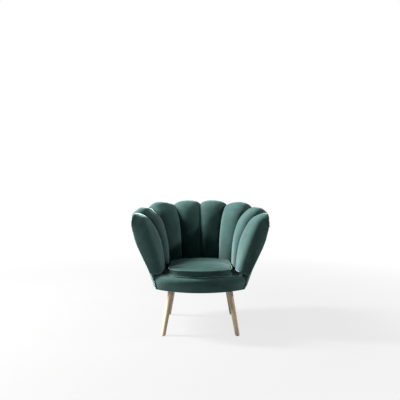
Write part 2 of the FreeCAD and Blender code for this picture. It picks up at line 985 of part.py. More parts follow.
def dust_staples():
    """Staples in rows along the straight sides of the dust cover."""
    under = lower_board_height - dust_thickness - staple_thickness
    right = [shell_plan(k, lower_board_height, dust_inset + staple_inset) for k in range(front_edge + 1)]
    pairs = list(zip(right, right[1:]))
    staples = []
    for a, b in pairs:
        angle = math.degrees(math.atan2(b.y - a.y, b.x - a.x))
        for i in range(staple_count):
            place = a + (b - a) * ((i + 0.5) / staple_count)
            bar = Part.makeBox(staple_length, staple_width, staple_thickness,
                               V(-staple_length / 2, -staple_width / 2, 0))
            bar.rotate(V(0, 0, 0), V(0, 0, 1), angle)
            bar.translate(V(place.x, place.y, under))
            staples.append(bar)
            staples.append(mirrored(bar))
    return staples


# Seat cushion

def cushion_plan():
    """Plan of the cushion inside its piping, with rounded corners and a bowed front."""
    side = cushion_half_width - 2 * piping_radius - soft_gap
    front = cushion_front - 2 * piping_radius - soft_gap
    back = cushion_back - 2 * piping_radius - soft_gap
    corner_y = -front + cushion_front_sagitta
    a = V(side, corner_y, 0)
    b = V(side, back, 0)
    c = V(-side, back, 0)
    d = V(-side, corner_y, 0)
    outline = closed([line(a, b), line(b, c), line(c, d), arc(d, V(0, -front, 0), a)])
    block = slab(outline, boxing_height)
    for at_front, radius in ((True, cushion_front_radius), (False, cushion_back_radius)):
        corners = []
        for edge in block.Edges:
            box = edge.BoundBox
            upright = box.ZLength > boxing_height / 2 and box.XLength < joint_gap and box.YLength < joint_gap
            is_corner = abs(abs(box.Center.x) - side) < joint_gap
            if upright and is_corner and (box.Center.y < 0) == at_front:
                corners.append(edge)
        block = block.makeFillet(radius, corners)
    lowest = min(block.Faces, key=lambda face: face.BoundBox.ZMax)
    return lowest.OuterWire


def cushion_wire(plan, scale, height):
    wire = plan.copy()
    middle = V(0, (cushion_back - cushion_front) / 2, 0)
    wire.scale(scale, middle)
    wire.translate(V(0, 0, height))
    return wire


def cushion_heights():
    low = deck_height + soft_gap
    lower_seam = low + cushion_belly
    return low, lower_seam, lower_seam + boxing_height


def cushion_body(plan, inset):
    low, lower_seam, upper_seam = cushion_heights()
    fit = (cushion_half_width - inset) / cushion_half_width
    lean = 1 - (cushion_half_width - inset - cushion_belly) / cushion_half_width
    rim = cushion_wire(plan, fit, lower_seam)
    belly = Part.makeLoft([cushion_wire(plan, fit - lean, low + inset), rim], True, True)
    boxing = loft([
        rim,
        cushion_wire(plan, fit * boxing_draw_in_share, (lower_seam + upper_seam - inset) / 2),
        cushion_wire(plan, fit, upper_seam - inset),
    ])
    crown = []
    for scale, rise in zip(crown_scale_shares, crown_height_shares):
        crown.append(cushion_wire(plan, fit * scale, upper_seam - inset + rise * cushion_crown))
    return belly.fuse(boxing).fuse(loft(crown)).removeSplitter()


def cushion_ring(plan, outer_inset, inner_inset, low, high):
    outer_fit = (cushion_half_width - outer_inset) / cushion_half_width
    inner_fit = (cushion_half_width - inner_inset) / cushion_half_width
    outer = slab(cushion_wire(plan, outer_fit * boxing_draw_in_share, low), high - low)
    inner = slab(cushion_wire(plan, inner_fit * boxing_draw_in_share, low), high - low)
    return outer.cut(inner)


def zip_room(half_width, low, high):
    return Part.makeBox(2 * half_width, cushion_back, high - low, V(-half_width, 0, low))


def cushion_zip(plan):
    _, lower_seam, upper_seam = cushion_heights()
    middle = (lower_seam + upper_seam) / 2
    low = middle - zip_height / 2
    high = middle + zip_height / 2
    inset = (velvet - zip_thickness) / 2
    strip = cushion_ring(plan, inset, inset + zip_thickness, low, high)
    strip = strip.common(zip_room(zip_half_width, low, high))
    y = strip.BoundBox.YMax
    slider = Part.makeBox(slider_width, slider_thickness, zip_height, V(-slider_width / 2, y, low))
    return strip, slider


def cushion_cover(plan):
    _, lower_seam, upper_seam = cushion_heights()
    middle = (lower_seam + upper_seam) / 2
    low = middle - zip_height / 2 - soft_gap
    high = middle + zip_height / 2 + soft_gap
    slot = cushion_ring(plan, -overrun, overrun, low, high)
    slot = slot.common(zip_room(zip_half_width + soft_gap, low, high))
    return cushion_body(plan, 0).cut(cushion_body(plan, velvet)).cut(slot)


def cushion_foam(plan):
    return cushion_body(plan, velvet + foam_gap)


def cushion_piping(plan):
    _, lower_seam, upper_seam = cushion_heights()
    rings = []
    for height in (lower_seam, upper_seam):
        path = plan.makeOffset2D(piping_radius + soft_gap)
        path = Part.Wire(path.Edges)
        path.translate(V(0, 0, height))
        edge = path.OrderedEdges[0]
        start = edge.valueAt(edge.FirstParameter)
        tangent = edge.tangentAt(edge.FirstParameter)
        profile = closed([Part.makeCircle(piping_radius, start, tangent)])
        rings.append(path.makePipeShell([profile], True, True))
    return rings


# Welt along the outside shell's front and top edges

def welt_run(points):
    path = curve(points)
    start = path.valueAt(path.FirstParameter)
    profile = closed([Part.makeCircle(piping_radius, start, path.tangentAt(path.FirstParameter))])
    return closed([path]).makePipeShell([profile], True, False)


def cover_rim(cover, stations):
    """Points along the top edge of an outside cover, from its first station to its last."""
    tops = []
    for side, k in stations:
        tops.append(side_point(side, shell_point(k, shell_top_share(k, cover_top_gap), 0)))
    for edge in cover.Edges:
        points = edge.discretize(welt_stations)
        if points[0].distanceToPoint(tops[-1]) < joint_gap:
            points.reverse()
        starts = points[0].distanceToPoint(tops[0]) < joint_gap
        if starts and points[-1].distanceToPoint(tops[-1]) < joint_gap:
            return points
    return []


def welt_path(rim, start_gap, end_gap):
    """The rim moved out by the welt's radius and down a little, with its ends drawn back."""
    path = []
    for i, point in enumerate(rim):
        travel = rim[min(i + 1, len(rim) - 1)] - rim[max(i - 1, 0)]
        out = unit(V(travel.y, -travel.x, 0))
        if out.dot(point) < 0:
            out = out * -1
        path.append(point + out * (piping_radius + soft_gap) - V(0, 0, welt_drop))
    path[0] = path[0] + unit(path[1] - path[0]) * start_gap
    path[-1] = path[-1] + unit(path[-2] - path[-1]) * end_gap
    return path


def outside_welt(arm_cover, back_cover):
    beside = piping_radius + soft_gap
    low = deck_height + soft_gap
    top = shell_top(front_edge) - cover_top_gap
    front = []
    for i in range(welt_stations):
        height = low + (top - low) * i / (welt_stations - 1)
        front.append(arm_edge(height) - arm_edge_inward() * (beside + joint_gap))
    arm_top = welt_path(cover_rim(arm_cover, arm_stations), beside, piping_radius / 2)
    back = welt_path(cover_rim(back_cover, back_stations), piping_radius / 2, piping_radius / 2)
    runs = [welt_run(back)]
    for side, _ in left_or_right:
        runs.append(on_side(side, welt_run(front)))
        runs.append(on_side(side, welt_run(arm_top)))
    return runs


# Build and write every piece

def build_legs():
    names = {-1: "front", 1: "rear"}
    for front in (-1, 1):
        for side, side_name in left_or_right:
            save("leg_" + names[front] + "_" + side_name, [leg(side, front)])
    corners = [(side, front) for front in (-1, 1) for side, _ in left_or_right]
    save("floor_glides", [glide(side, front) for side, front in corners])
    bolts = [bolt_body(side, front, bolt_radius, bolt_in_leg, bolt_above_plate) for side, front in corners]
    save("leg_hanger_bolts", bolts)
    plates = []
    screws = []
    plate_low = lower_board_height - plate_thickness
    for side, front in corners:
        hip = leg_axis(side, front)[1]
        plate = hip_box(hip, plate_side, plate_low, lower_board_height)
        plate = plate.cut(bolt_body(side, front, bolt_radius + joint_gap, overrun, overrun * 2))
        for place in plate_screw_places(hip):
            plate = plate.cut(screw_hole(place, plate_low - overrun, lower_board_height + overrun))
            screws.append(upright_screw(place, plate_low, plate_screw_length))
        plates.append(plate)
    save("leg_mounting_plates", plates)
    save("leg_plate_screws", screws)
    save("leg_corner_blocks", [corner_block(side, front) for side, front in corners])


def build_base():
    save("base_board_lower", [lower_board()])
    save("base_board_upper", [upper_board()])
    save("base_posts", frame_posts())
    save("front_rail", [front_rail()])
    save("front_band_foam", [front_band_foam()])
    save("front_band_cover", [front_band_cover()])
    save("webbing_crosswise", web_rows())
    save("webbing_lengthwise", web_columns())
    save("deck_foam", [deck_foam()])
    save("deck_cover", [deck_cover()])
    save("dust_cover", [dust_cover()])
    save("dust_cover_staples", dust_staples())


def build_shell():
    rib_names = ("back", "back_side", "corner", "arm")
    tip = ring_top - board + rib_screw_length + joint_gap
    holes = [screw_hole(place, ring_top - overrun, tip) for place in all_rib_screws()]
    tool = Part.makeCompound(holes)
    save("shell_rib_back_middle", [rib(0).cut(tool)])
    for k in (1, 2, 3):
        solid = rib(k).cut(tool)
        for side, side_name in left_or_right:
            save("shell_rib_" + rib_names[k] + "_" + side_name, [on_side(side, solid)])
    post = arm_post().cut(tool)
    for side, side_name in left_or_right:
        save("arm_front_post_" + side_name, [on_side(side, post)])
    save("rib_screws", [
        upright_screw(place, ring_top - board, rib_screw_length) for place in all_rib_screws()
    ])
    bays = range(front_edge)
    for name, maker, wanted in (
        ("inner_liner_panels", inner_liner, bays),
        ("outer_liner_panels", outer_liner, bays),
        ("top_headers", header, range(arm_rib)),
    ):
        solids = []
        for k in wanted:
            solid = maker(k)
            solids.append(solid)
            solids.append(mirrored(solid))
        save(name, solids)


def build_upholstery():
    for k in range(front_edge):
        cover = petal_cover(k)
        foam = petal_foam(k)
        for side, side_name in left_or_right:
            tail = side_name + "_" + str(front_edge - k)
            save("petal_cover_" + tail, [on_side(side, cover)])
            save("petal_foam_" + tail, [on_side(side, foam)])
    arm = outside_cover(arm_stations)
    back = outside_cover(back_stations)
    for side, side_name in left_or_right:
        save("outside_arm_cover_" + side_name, [on_side(side, arm)])
    save("outside_back_cover", [back])
    save("outside_welt", outside_welt(arm, back))


def build_cushion():
    plan = cushion_plan()
    save("cushion_foam", [cushion_foam(plan)])
    save("cushion_cover", [cushion_cover(plan)])
    save("cushion_piping", cushion_piping(plan))
    save("cushion_zip", list(cushion_zip(plan)))


build_legs()
build_base()
build_shell()
build_upholstery()
build_cushion()
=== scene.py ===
import math
import bmesh
import bpy
import numpy as np
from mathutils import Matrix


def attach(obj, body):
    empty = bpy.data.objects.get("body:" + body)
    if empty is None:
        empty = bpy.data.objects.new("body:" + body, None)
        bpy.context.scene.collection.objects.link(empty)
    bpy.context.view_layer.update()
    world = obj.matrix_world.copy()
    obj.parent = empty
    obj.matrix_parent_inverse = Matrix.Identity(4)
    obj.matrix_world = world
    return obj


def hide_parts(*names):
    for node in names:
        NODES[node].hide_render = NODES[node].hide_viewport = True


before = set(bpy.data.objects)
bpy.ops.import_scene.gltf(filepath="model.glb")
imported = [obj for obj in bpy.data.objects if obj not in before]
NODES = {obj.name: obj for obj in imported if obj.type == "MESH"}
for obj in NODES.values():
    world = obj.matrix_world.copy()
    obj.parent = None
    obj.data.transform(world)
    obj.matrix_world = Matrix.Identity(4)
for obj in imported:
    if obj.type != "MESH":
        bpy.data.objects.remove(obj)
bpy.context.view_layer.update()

# A velvet club chair with a petalled bucket. Sizes here are millimetres in the frame of the solids:
# origin on the floor, +X right, +Y back, +Z up. MM turns them to metres.
MM = 0.001
UP = np.array((0.0, 0.0, 1.0))
SIDES = ((-1, "left"), (1, "right"))

# Heights of the bucket as the solids have them. The crest falls by ARM_DROP from the back to the arms.
BASE_BOTTOM, RING_TOP, DECK, BEND, CREST = 265.0, 336.0, 350.0, 415.0, 755.0
ARM_DROP, ARM_TOP = 83.0, 656.0

# The seams between petals run from 0, the middle of the back, to EDGE, the front edge of an arm. The shares
# place the first four on the plans of foot and crest, and say how far the crest has dropped at each.
EDGE = 4
SEAT_HALF, SEAT_BACK = 233.0, 215.0
FOOT_X = (0.0, 0.562, 0.979, 1.0)
FOOT_Y = (1.0, 0.977, 0.442, -0.302)
CREST_HALF, CREST_BACK = 399.0, 333.0
CREST_X = (0.0, 0.478, 0.876, 1.0)
CREST_Y = (1.0, 0.940, 0.577, -0.054)
CREST_DROP = (0.0, 0.10, 0.34, 1.0)
ROLL_REACH, ROLL_DROP = 32.0, 40.0        # how far a petal rolls outward and down from its crest

# The outer shell at those four seams: how far out its foot stands, and how much it bows
SHELL_FOOT, SHELL_FOOT_SHARES = 72.0, (0.90, 0.85, 0.90, 0.92)
SHELL_BOW, SHELL_BOW_SHARES = 21.0, (0.5, 0.6, 0.7, 0.1)

# The arm's front edge: its curve in front view, its depth at foot and top, the way from it into the bucket,
# and how far its roll goes outward, back and down at the last levels
EDGE_FOOT_X, EDGE_TOP_X = 252.0, 394.0
EDGE_HEIGHTS = (0.0, 0.368, 0.721, 1.0)
EDGE_XS = (0.0, 0.38, 0.83, 1.0)
EDGE_FRONT_FOOT, EDGE_FRONT_TOP = 240.0, 217.0
EDGE_IN = np.array((-1.0, 0.25, 0.0)) / math.hypot(1.0, 0.25)
ARM_ROLL = ((0.0, 0.10, 0.20), (0.0, 0.20, 0.45), (0.0, 0.10, 0.40))

# A petal has a section at each level: 0 on the deck, 1 at the bend, TOP_LEVEL at the crest, LAST_LEVEL at the
# welt. Its crown is a share of its width there.
LEAN, ROLL = 6, 2
TOP_LEVEL, LAST_LEVEL = LEAN + 1, LEAN + 1 + ROLL
CROWNS = (0.19, 0.185, 0.18, 0.175, 0.175, 0.175, 0.175, 0.17, 0.12, 0.055)
ARM_CROWNS = (0.29, 0.32, 0.34, 0.35, 0.345, 0.33, 0.25, 0.145, 0.03, 0.012)

# Depth of the pad behind a face, and at the arm's edge, where it thins toward the top and its wall leans
PAD = 30.0
ARM_WALL = 45.0
ARM_WALL_SHARES = (1.0, 1.0, 1.0, 1.0, 1.0, 0.85, 0.55, 0.28, 0.24, 0.22)
ARM_LEAN = 0.45
ARM_FOLLOW = (0.0, 0.0, 0.0, 0.0, 0.1, 0.35, 0.7, 1.0, 1.0, 1.0)    # how far the edge runs like its neighbour

VELVET, GAP, PIPE = 2.0, 0.3, 3.0         # thickness of the cloth, clearance, radius of welt and piping


# Materials

def linear(code):
    """sRGB hex colour to linear RGBA."""
    parts = [int(code[i:i + 2], 16) / 255 for i in (1, 3, 5)]
    return tuple(c / 12.92 if c <= 0.04045 else ((c + 0.055) / 1.055) ** 2.4 for c in parts) + (1.0,)


def add_node(tree, kind, settings, inputs):
    """Adds a node with its settings, its input values and its links."""
    node = tree.nodes.new("ShaderNode" + kind)
    for name, value in settings.items():
        setattr(node, name, value)
    for name, value in inputs.items():
        if isinstance(value, bpy.types.NodeSocket):
            tree.links.new(value, node.inputs[name])
        else:
            node.inputs[name].default_value = value
    return node


def new_material(name):
    """An empty material, its node tree and the place on the object that its patterns follow."""
    material = bpy.data.materials.new(name)
    material.use_nodes = True
    tree = material.node_tree
    tree.nodes.clear()
    place = add_node(tree, "TexCoord", {}, {}).outputs["Object"]
    return material, tree, place


def finish_material(tree, settings):
    surface = add_node(tree, "BsdfPrincipled", {}, settings)
    add_node(tree, "OutputMaterial", {}, {"Surface": surface.outputs["BSDF"]})


def between(tree, pattern, low, high):
    """A value that goes from low to high as a pattern goes from 0 to 1."""
    return add_node(tree, "MapRange", {}, {"Value": pattern, "To Min": low, "To Max": high}).outputs[0]


def shaded(tree, colour, factor):
    return add_node(tree, "VectorMath", {"operation": "SCALE"}, {0: colour, "Scale": factor}).outputs[0]


def ramp(tree, pattern, low, high, start=0.35, end=0.65):
    """Colour between two hex values as a pattern rises from start to end."""
    share = add_node(tree, "MapRange", {"clamp": True}, {"Value": pattern, "From Min": start, "From Max": end})
    return add_node(tree, "Mix", {"data_type": "RGBA"},
                    {0: share.outputs[0], 6: linear(low), 7: linear(high)}).outputs[2]


def noise(tree, place, period, detail=2.0, distortion=0.0):
    """Irregular pattern whose blotches are about period millimetres wide."""
    return add_node(tree, "TexNoise", {}, {
        "Vector": place, "Scale": 1 / (period * MM), "Detail": detail, "Distortion": distortion,
    }).outputs["Fac"]


def bump(tree, height, strength, depth, normal=None):
    """Relief of a depth in millimetres."""
    inputs = {"Height": height, "Strength": strength, "Distance": depth * MM}
    if normal is not None:
        inputs["Normal"] = normal
    return add_node(tree, "Bump", {}, inputs).outputs["Normal"]


def pile_velvet(name, bloom):
    """Cut-pile polyester velvet: deep teal, its pile combed downward, with a pale bloom where it turns away."""
    comb = (0.0, 0.0, -0.25)                  # how far the lie of the pile turns the surface's facing down
    material, tree, place = new_material(name)
    brushed = noise(tree, place, 70.0, 3.0, 1.2)
    crushed = noise(tree, place, 9.0, 3.0, 0.6)
    grain = noise(tree, place, 1.6, 2.0)      # a real pile is 0.3 mm: drawn coarser so that it shows
    tone = add_node(tree, "Math", {"operation": "MULTIPLY"}, {
        0: between(tree, grain, 0.90, 1.10), 1: between(tree, crushed, 0.93, 1.07),
    }).outputs[0]
    facing = add_node(tree, "NewGeometry", {}, {}).outputs["Normal"]
    combed = add_node(tree, "VectorMath", {"operation": "ADD"}, {0: facing, 1: comb}).outputs[0]
    pile = add_node(tree, "VectorMath", {"operation": "NORMALIZE"}, {0: combed}).outputs[0]
    finish_material(tree, {
        "Base Color": shaded(tree, ramp(tree, brushed, "#263F3C", "#2D4A46", 0.36, 0.66), tone),
        "Roughness": between(tree, crushed, 0.66, 0.80),
        "Normal": bump(tree, grain, 0.30, 0.25, bump(tree, crushed, 0.12, 0.6, pile)),
        "IOR": 1.45, "Specular IOR Level": 0.10,
        "Sheen Weight": bloom, "Sheen Roughness": 0.45, "Sheen Tint": linear("#CBEDEB"),
    })
    return material


def lacquered_ash():
    """Lathe-turned ash under clear satin lacquer: pale long grain along Z with fine pores and a soft gloss."""
    material, tree, place = new_material("clear_lacquered_ash")
    stretched = add_node(tree, "Mapping", {}, {"Vector": place, "Scale": (1.0, 1.0, 0.06)}).outputs[0]
    figure = noise(tree, stretched, 9.0, 4.0, 0.8)
    pores = noise(tree, stretched, 1.4, 3.0)
    finish_material(tree, {
        "Base Color": shaded(tree, ramp(tree, figure, "#C2AD8F", "#DCC9AB", 0.35, 0.66),
                             between(tree, pores, 0.86, 1.10)),
        "Roughness": between(tree, pores, 0.34, 0.48), "IOR": 1.5, "Normal": bump(tree, pores, 0.25, 0.15),
    })
    return material


def birch_plywood():
    """Sawn birch plywood: pale, with faint veneer figure, and shaded in bands up its edges like its plies."""
    material, tree, place = new_material("birch_plywood")
    stretched = add_node(tree, "Mapping", {}, {"Vector": place, "Scale": (0.08, 1.0, 1.0)}).outputs[0]
    figure = noise(tree, stretched, 6.0, 4.0, 0.5)
    plies = add_node(tree, "TexWave", {"bands_direction": "Z"}, {     # real plies of 1.5 mm wouldn't show
        "Vector": place, "Scale": 1 / (60.0 * MM), "Distortion": 0.4, "Detail": 1.0,
    }).outputs["Fac"]
    finish_material(tree, {
        "Base Color": shaded(tree, ramp(tree, figure, "#CDB58C", "#DEC9A2"), between(tree, plies, 0.88, 1.0)),
        "Roughness": 0.68, "IOR": 1.5, "Normal": bump(tree, figure, 0.3, 0.2),
    })
    return material


def fibre_board():
    """Thin pressed fibreboard: brown, with short fibres."""
    material, tree, place = new_material("pressed_fibreboard")
    fibres = noise(tree, place, 2.5, 4.0, 2.0)
    finish_material(tree, {
        "Base Color": ramp(tree, fibres, "#8A6B4A", "#A58560"), "Roughness": 0.8, "IOR": 1.5,
        "Normal": bump(tree, fibres, 0.3, 0.2),
    })
    return material


def black_lining():
    """Spun-bonded polypropylene: dull black felt with a faint pressed dot."""
    material, tree, place = new_material("spun_bonded_lining")
    dots = add_node(tree, "TexVoronoi", {}, {"Vector": place, "Scale": 1 / (2.0 * MM), "Randomness": 0.2})
    fibres = noise(tree, place, 1.5, 3.0, 1.5)
    finish_material(tree, {
        "Base Color": ramp(tree, fibres, "#17181A", "#26282B"), "Roughness": 0.85, "IOR": 1.49,
        "Normal": bump(tree, dots.outputs["Distance"], 0.3, 0.25),
    })
    return material


def woven_webbing():
    """Elastic webbing: close ribs across the strap, beige with darker threads."""
    material, tree, place = new_material("elastic_webbing")
    threads = add_node(tree, "TexChecker", {}, {
        "Vector": place, "Scale": 1 / (2.0 * MM), "Color1": linear("#B9A27A"), "Color2": linear("#8D7650"),
    })
    fuzz = noise(tree, place, 1.2, 2.0)
    finish_material(tree, {
        "Base Color": threads.outputs["Color"], "Roughness": 0.86, "IOR": 1.5,
        "Normal": bump(tree, fuzz, 0.4, 0.3),
    })
    return material


def zinc_plate():
    """Bright zinc-plated steel: pale bluish, with crystals a few millimetres wide."""
    material, tree, place = new_material("zinc_plated_steel")
    crystals = noise(tree, place, 4.0, 3.0)
    finish_material(tree, {
        "Base Color": ramp(tree, crystals, "#AEB2B5", "#C6CACD"), "Metallic": 1.0,
        "Roughness": between(tree, crystals, 0.28, 0.46), "Normal": bump(tree, crystals, 0.15, 0.05),
    })
    return material


def moulded_nylon(name, low, high):
    """Moulded nylon: even, slightly waxy, with a fine spark-eroded grain."""
    material, tree, place = new_material(name)
    grain = noise(tree, place, 0.8, 2.0)
    finish_material(tree, {
        "Base Color": ramp(tree, grain, low, high), "Roughness": 0.45, "IOR": 1.53,
        "Normal": bump(tree, grain, 0.2, 0.08),
    })
    return material


VELVET_FINISH = pile_velvet("teal_cut_pile_velvet", 1.0)
SEAT_VELVET = pile_velvet("teal_velvet_napped_forward", 0.20)
BAND_VELVET = pile_velvet("teal_velvet_napped_down", 0.45)
LEG_WOOD = lacquered_ash()
PLYWOOD = birch_plywood()
FIBREBOARD = fibre_board()
LINING = black_lining()
WEBBING = woven_webbing()
ZINC = zinc_plate()
GLIDE = moulded_nylon("moulded_nylon_glide", "#C9C7C0", "#D8D6D0")
ZIP = moulded_nylon("nylon_coil_zip", "#1F3B39", "#2B4B48")


# Curves and meshes

def unit(vector):
    return vector / np.linalg.norm(vector)


def smooth_through(points, count):
    """Natural cubic through a row of points or of point groups, read at even steps of its length."""
    points = np.asarray(points, float)
    last = len(points) - 1
    gaps = np.linalg.norm(np.diff(points, axis=0), axis=-1).reshape(last, -1).mean(axis=1)
    at = np.concatenate(([0.0], np.cumsum(gaps)))
    system = np.eye(last + 1)
    right = np.zeros_like(points)
    for i in range(1, last):
        system[i, i - 1:i + 2] = gaps[i - 1], 2 * (gaps[i - 1] + gaps[i]), gaps[i]
        right[i] = 6 * ((points[i + 1] - points[i]) / gaps[i] - (points[i] - points[i - 1]) / gaps[i - 1])
    bend = np.linalg.solve(system, right.reshape(last + 1, -1)).reshape(points.shape)
    rows = []
    for t in np.linspace(0, at[-1], count):
        i = min(int(np.searchsorted(at, t, side="right")) - 1, last - 1)
        h = gaps[i]
        a, b = (at[i + 1] - t) / h, (t - at[i]) / h
        curve = ((a ** 3 - a) * bend[i] + (b ** 3 - b) * bend[i + 1]) * h * h / 6
        rows.append(a * points[i] + b * points[i + 1] + curve)
    return np.array(rows)


def soft_wave(place, seed, periods):
    """Slow irregular wave of a few sines, the same on each run."""
    return sum(np.sin(2 * math.pi * place / period + seed * (1.3 + 0.9 * i)) / len(periods)
               for i, period in enumerate(periods))


def lengths_along(points):
    """Distance of each point from the first, along the row."""
    return np.concatenate(([0.0], np.cumsum(np.linalg.norm(np.diff(points, axis=0), axis=1))))


def place_mesh(name, mesh, material):
    mesh.materials.append(material)
    piece = bpy.data.objects.new(name, mesh)
    bpy.context.scene.collection.objects.link(piece)
    return piece


def make_piece(name, points, faces, material, smooth=True):
    """A mesh object from points in millimetres, with its faces turned outward."""
    mesh = bpy.data.meshes.new(name)
    mesh.from_pydata([tuple(p) for p in np.asarray(points).reshape(-1, 3) * MM], [], faces)
    shape = bmesh.new()
    shape.from_mesh(mesh)
    bmesh.ops.recalc_face_normals(shape, faces=shape.faces)
    for face in shape.faces:
        face.smooth = smooth
    shape.to_mesh(mesh)
    shape.free()
    return place_mesh(name, mesh, material)


def ring_faces(rows, columns, closed_rows=False):
    """Faces of a body made of closed rings, capped at both ends unless its rows close too."""
    faces = []
    for r in range(rows if closed_rows else rows - 1):
        here, there = r * columns, (r + 1) % rows * columns
        for c in range(columns):
            d = (c + 1) % columns
            faces.append((here + c, here + d, there + d, there + c))
    if not closed_rows:
        faces.append(tuple(range(columns)))
        faces.append(tuple((rows - 1) * columns + c for c in range(columns)))
    return faces


def joined(bodies, closed_rows=False):
    """Points and faces of several ringed bodies as one mesh."""
    points, faces = [], []
    for rings in bodies:
        shift = sum(len(p) for p in points)
        faces += [tuple(n + shift for n in face) for face in ring_faces(*rings.shape[:2], closed_rows)]
        points.append(rings.reshape(-1, 3))
    return np.concatenate(points), faces


def tube_rings(path, radius, sides, closed):
    """Rings of a round cord that follows a path, a little uneven as a hand-sewn one is."""
    path = np.asarray(path, float)
    if closed:
        travel = np.roll(path, -1, axis=0) - np.roll(path, 1, axis=0)
    else:
        travel = np.gradient(path, axis=0)
    turns = np.linspace(0, 2 * math.pi, sides, endpoint=False)
    rings = []
    aside = np.cross(UP, unit(travel[0]))
    aside = unit(aside) if np.linalg.norm(aside) > 0.1 else np.array((1.0, 0.0, 0.0))
    for i, point in enumerate(path):
        forward = unit(travel[i])
        aside = unit(aside - forward * aside.dot(forward))
        rise = np.cross(forward, aside)
        thick = radius * (1 + 0.04 * math.sin(i * 1.7) + 0.03 * math.sin(i * 0.61))
        rings.append(point + thick * (np.outer(np.cos(turns), aside) + np.outer(np.sin(turns), rise)))
    return np.array(rings)


def on_side(side, points):
    """The points, or their mirror image for the left side."""
    return np.asarray(points) * np.array((side, 1.0, 1.0))


def upholster(piece, slot, body, fill, *nodes):
    """Attaches a soft piece to the body that it rides on and hides the nodes that it stands for. How full it is,
    fill, is not used.
    """
    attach(piece, body)
    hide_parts(*nodes)


# Seams of the bucket

def foot(k):
    return np.array((FOOT_X[k] * SEAT_HALF, FOOT_Y[k] * SEAT_BACK, 0.0))


def crest(k):
    return np.array((CREST_X[k] * CREST_HALF, CREST_Y[k] * CREST_BACK, 0.0))


def outward(k):
    return unit(crest(k) - foot(k))


def across(k):
    return np.cross(outward(k), UP)


def crest_reach(k):
    return np.linalg.norm(crest(k) - foot(k))


def crest_z(k):
    return CREST - CREST_DROP[k] * ARM_DROP


def rib_point(k, reach, height):
    return foot(k) + outward(k) * reach + UP * height


def arm_edge(height):
    """The shell's front edge at a height."""
    share = (height - BASE_BOTTOM) / (ARM_TOP - BASE_BOTTOM)
    x_share = 0.0
    for i, node in enumerate(EDGE_HEIGHTS):
        weight = 1.0
        for j, other in enumerate(EDGE_HEIGHTS):
            if j != i:
                weight *= (share - other) / (node - other)
        x_share += weight * EDGE_XS[i]
    front = EDGE_FRONT_FOOT + share * (EDGE_FRONT_TOP - EDGE_FRONT_FOOT)
    return np.array((EDGE_FOOT_X + x_share * (EDGE_TOP_X - EDGE_FOOT_X), -front, height))


def seam(k, level):
    """Point of a seam at a level."""
    angle = math.radians(90.0 * (level - 1) / LEAN)
    if k == EDGE:
        inside = EDGE_IN * (VELVET + GAP)
        if level == 0:
            return arm_edge(DECK + GAP) + inside
        if level <= TOP_LEVEL:
            return arm_edge(BEND + (ARM_TOP - BEND) * math.sin(angle)) + inside
        reach, back, drop = [table[level - TOP_LEVEL] for table in ARM_ROLL]
        return arm_edge(ARM_TOP) + inside + np.array((reach * ROLL_REACH, back * ROLL_REACH, -drop * ROLL_DROP))
    if level == 0:
        return rib_point(k, 0, DECK + GAP)
    if level <= TOP_LEVEL:
        rise = crest_z(k) - BEND
        return rib_point(k, crest_reach(k) * (1 - math.cos(angle)), BEND + rise * math.sin(angle))
    angle = math.radians(90.0 * (level - TOP_LEVEL) / ROLL)
    reach = crest_reach(k) + ROLL_REACH * math.sin(angle)
    return rib_point(k, reach, crest_z(k) - ROLL_DROP * (1 - math.cos(angle)))


def seam_travel(k, level):
    """Way that a seam runs at a level."""
    if level == 0:
        return UP
    if level == LAST_LEVEL:
        return -UP
    own = unit(seam(k, level + 1) - seam(k, level - 1))
    if k == EDGE:
        share = ARM_FOLLOW[level]
        return unit(own * (1 - share) + seam_travel(k - 1, level) * share)
    return own


def petal_normal(k, level):
    chord = seam(k + 1, level) - seam(k, level)
    return unit(np.cross(chord, seam_travel(k, level) + seam_travel(k + 1, level)))


def wall_direction(k, petal, level):
    """Way from seam k into the pad of a petal beside it."""
    normal = petal_normal(petal, level)
    chord = unit(seam(petal + 1, level) - seam(petal, level))
    if k == EDGE:
        return unit(normal * -ARM_LEAN - chord)
    direction = unit(np.cross(np.cross(chord, normal), across(k)))
    return direction * (-1 if direction.dot(normal) > 0 else 1)


# Petals: stuffed channels whose faces press against each other at the seams

# The arm petal has a rounded nose. At each level it stands ahead of the arm's edge and outside it, and the
# corner where it leaves the crown moves out and up. NOSE gives its section as shares of those two sizes.
NOSE_AHEAD = (13.0, 13.0, 13.0, 13.0, 13.0, 13.0, 13.0, 13.0, 12.0, 9.0)
NOSE_OUT = (11.0, 11.0, 11.0, 11.0, 11.0, 10.0, 7.0, 5.0, 5.0, 5.0)
CORNER_OUT = (0.0, 0.0, 0.0, 0.0, 0.5, 4.0, 9.0, 10.0, 6.0, 0.0)
CORNER_UP = (0.0, 0.0, 0.0, 0.0, 0.0, 1.0, 6.0, 12.0, 10.0, 2.0)
NOSE_TURNS = [math.radians(a) for a in (0, 18, 36, 54, 72, 90, 108)]
NOSE = [((8 + 5 * math.cos(a)) / 13, (3 + 8 * math.sin(a)) / 11) for a in NOSE_TURNS]
NOSE += [(0.40, 0.78), (0.375, 0.50), (0.31, 0.22), (0.0, 0.0)]

PETAL_ROWS = 132
FACE = np.sin(np.linspace(-math.pi / 2, math.pi / 2, 49))    # across a face, closer together at its seams
FOOT_ROUND = 24.0                                            # a petal rounds in over this height at the deck
SEAM_GAP, CORNER_GAP = 0.05, 0.06                            # from a seam to the faces and corners that meet there

# For each petal from the middle of the back to the arm: the two powers that shape its bulge on the half
# toward the arm, and how far its crown leans that way in its upper part and low down
BACK_BULGE = (2.3, 0.70)
BULGES = (BACK_BULGE, BACK_BULGE, (3.2, 0.62), (4.2, 0.58))
LEANS = ((0.0, 0.0), (0.45, 0.0), (0.80, 0.0), (0.30, 0.42))

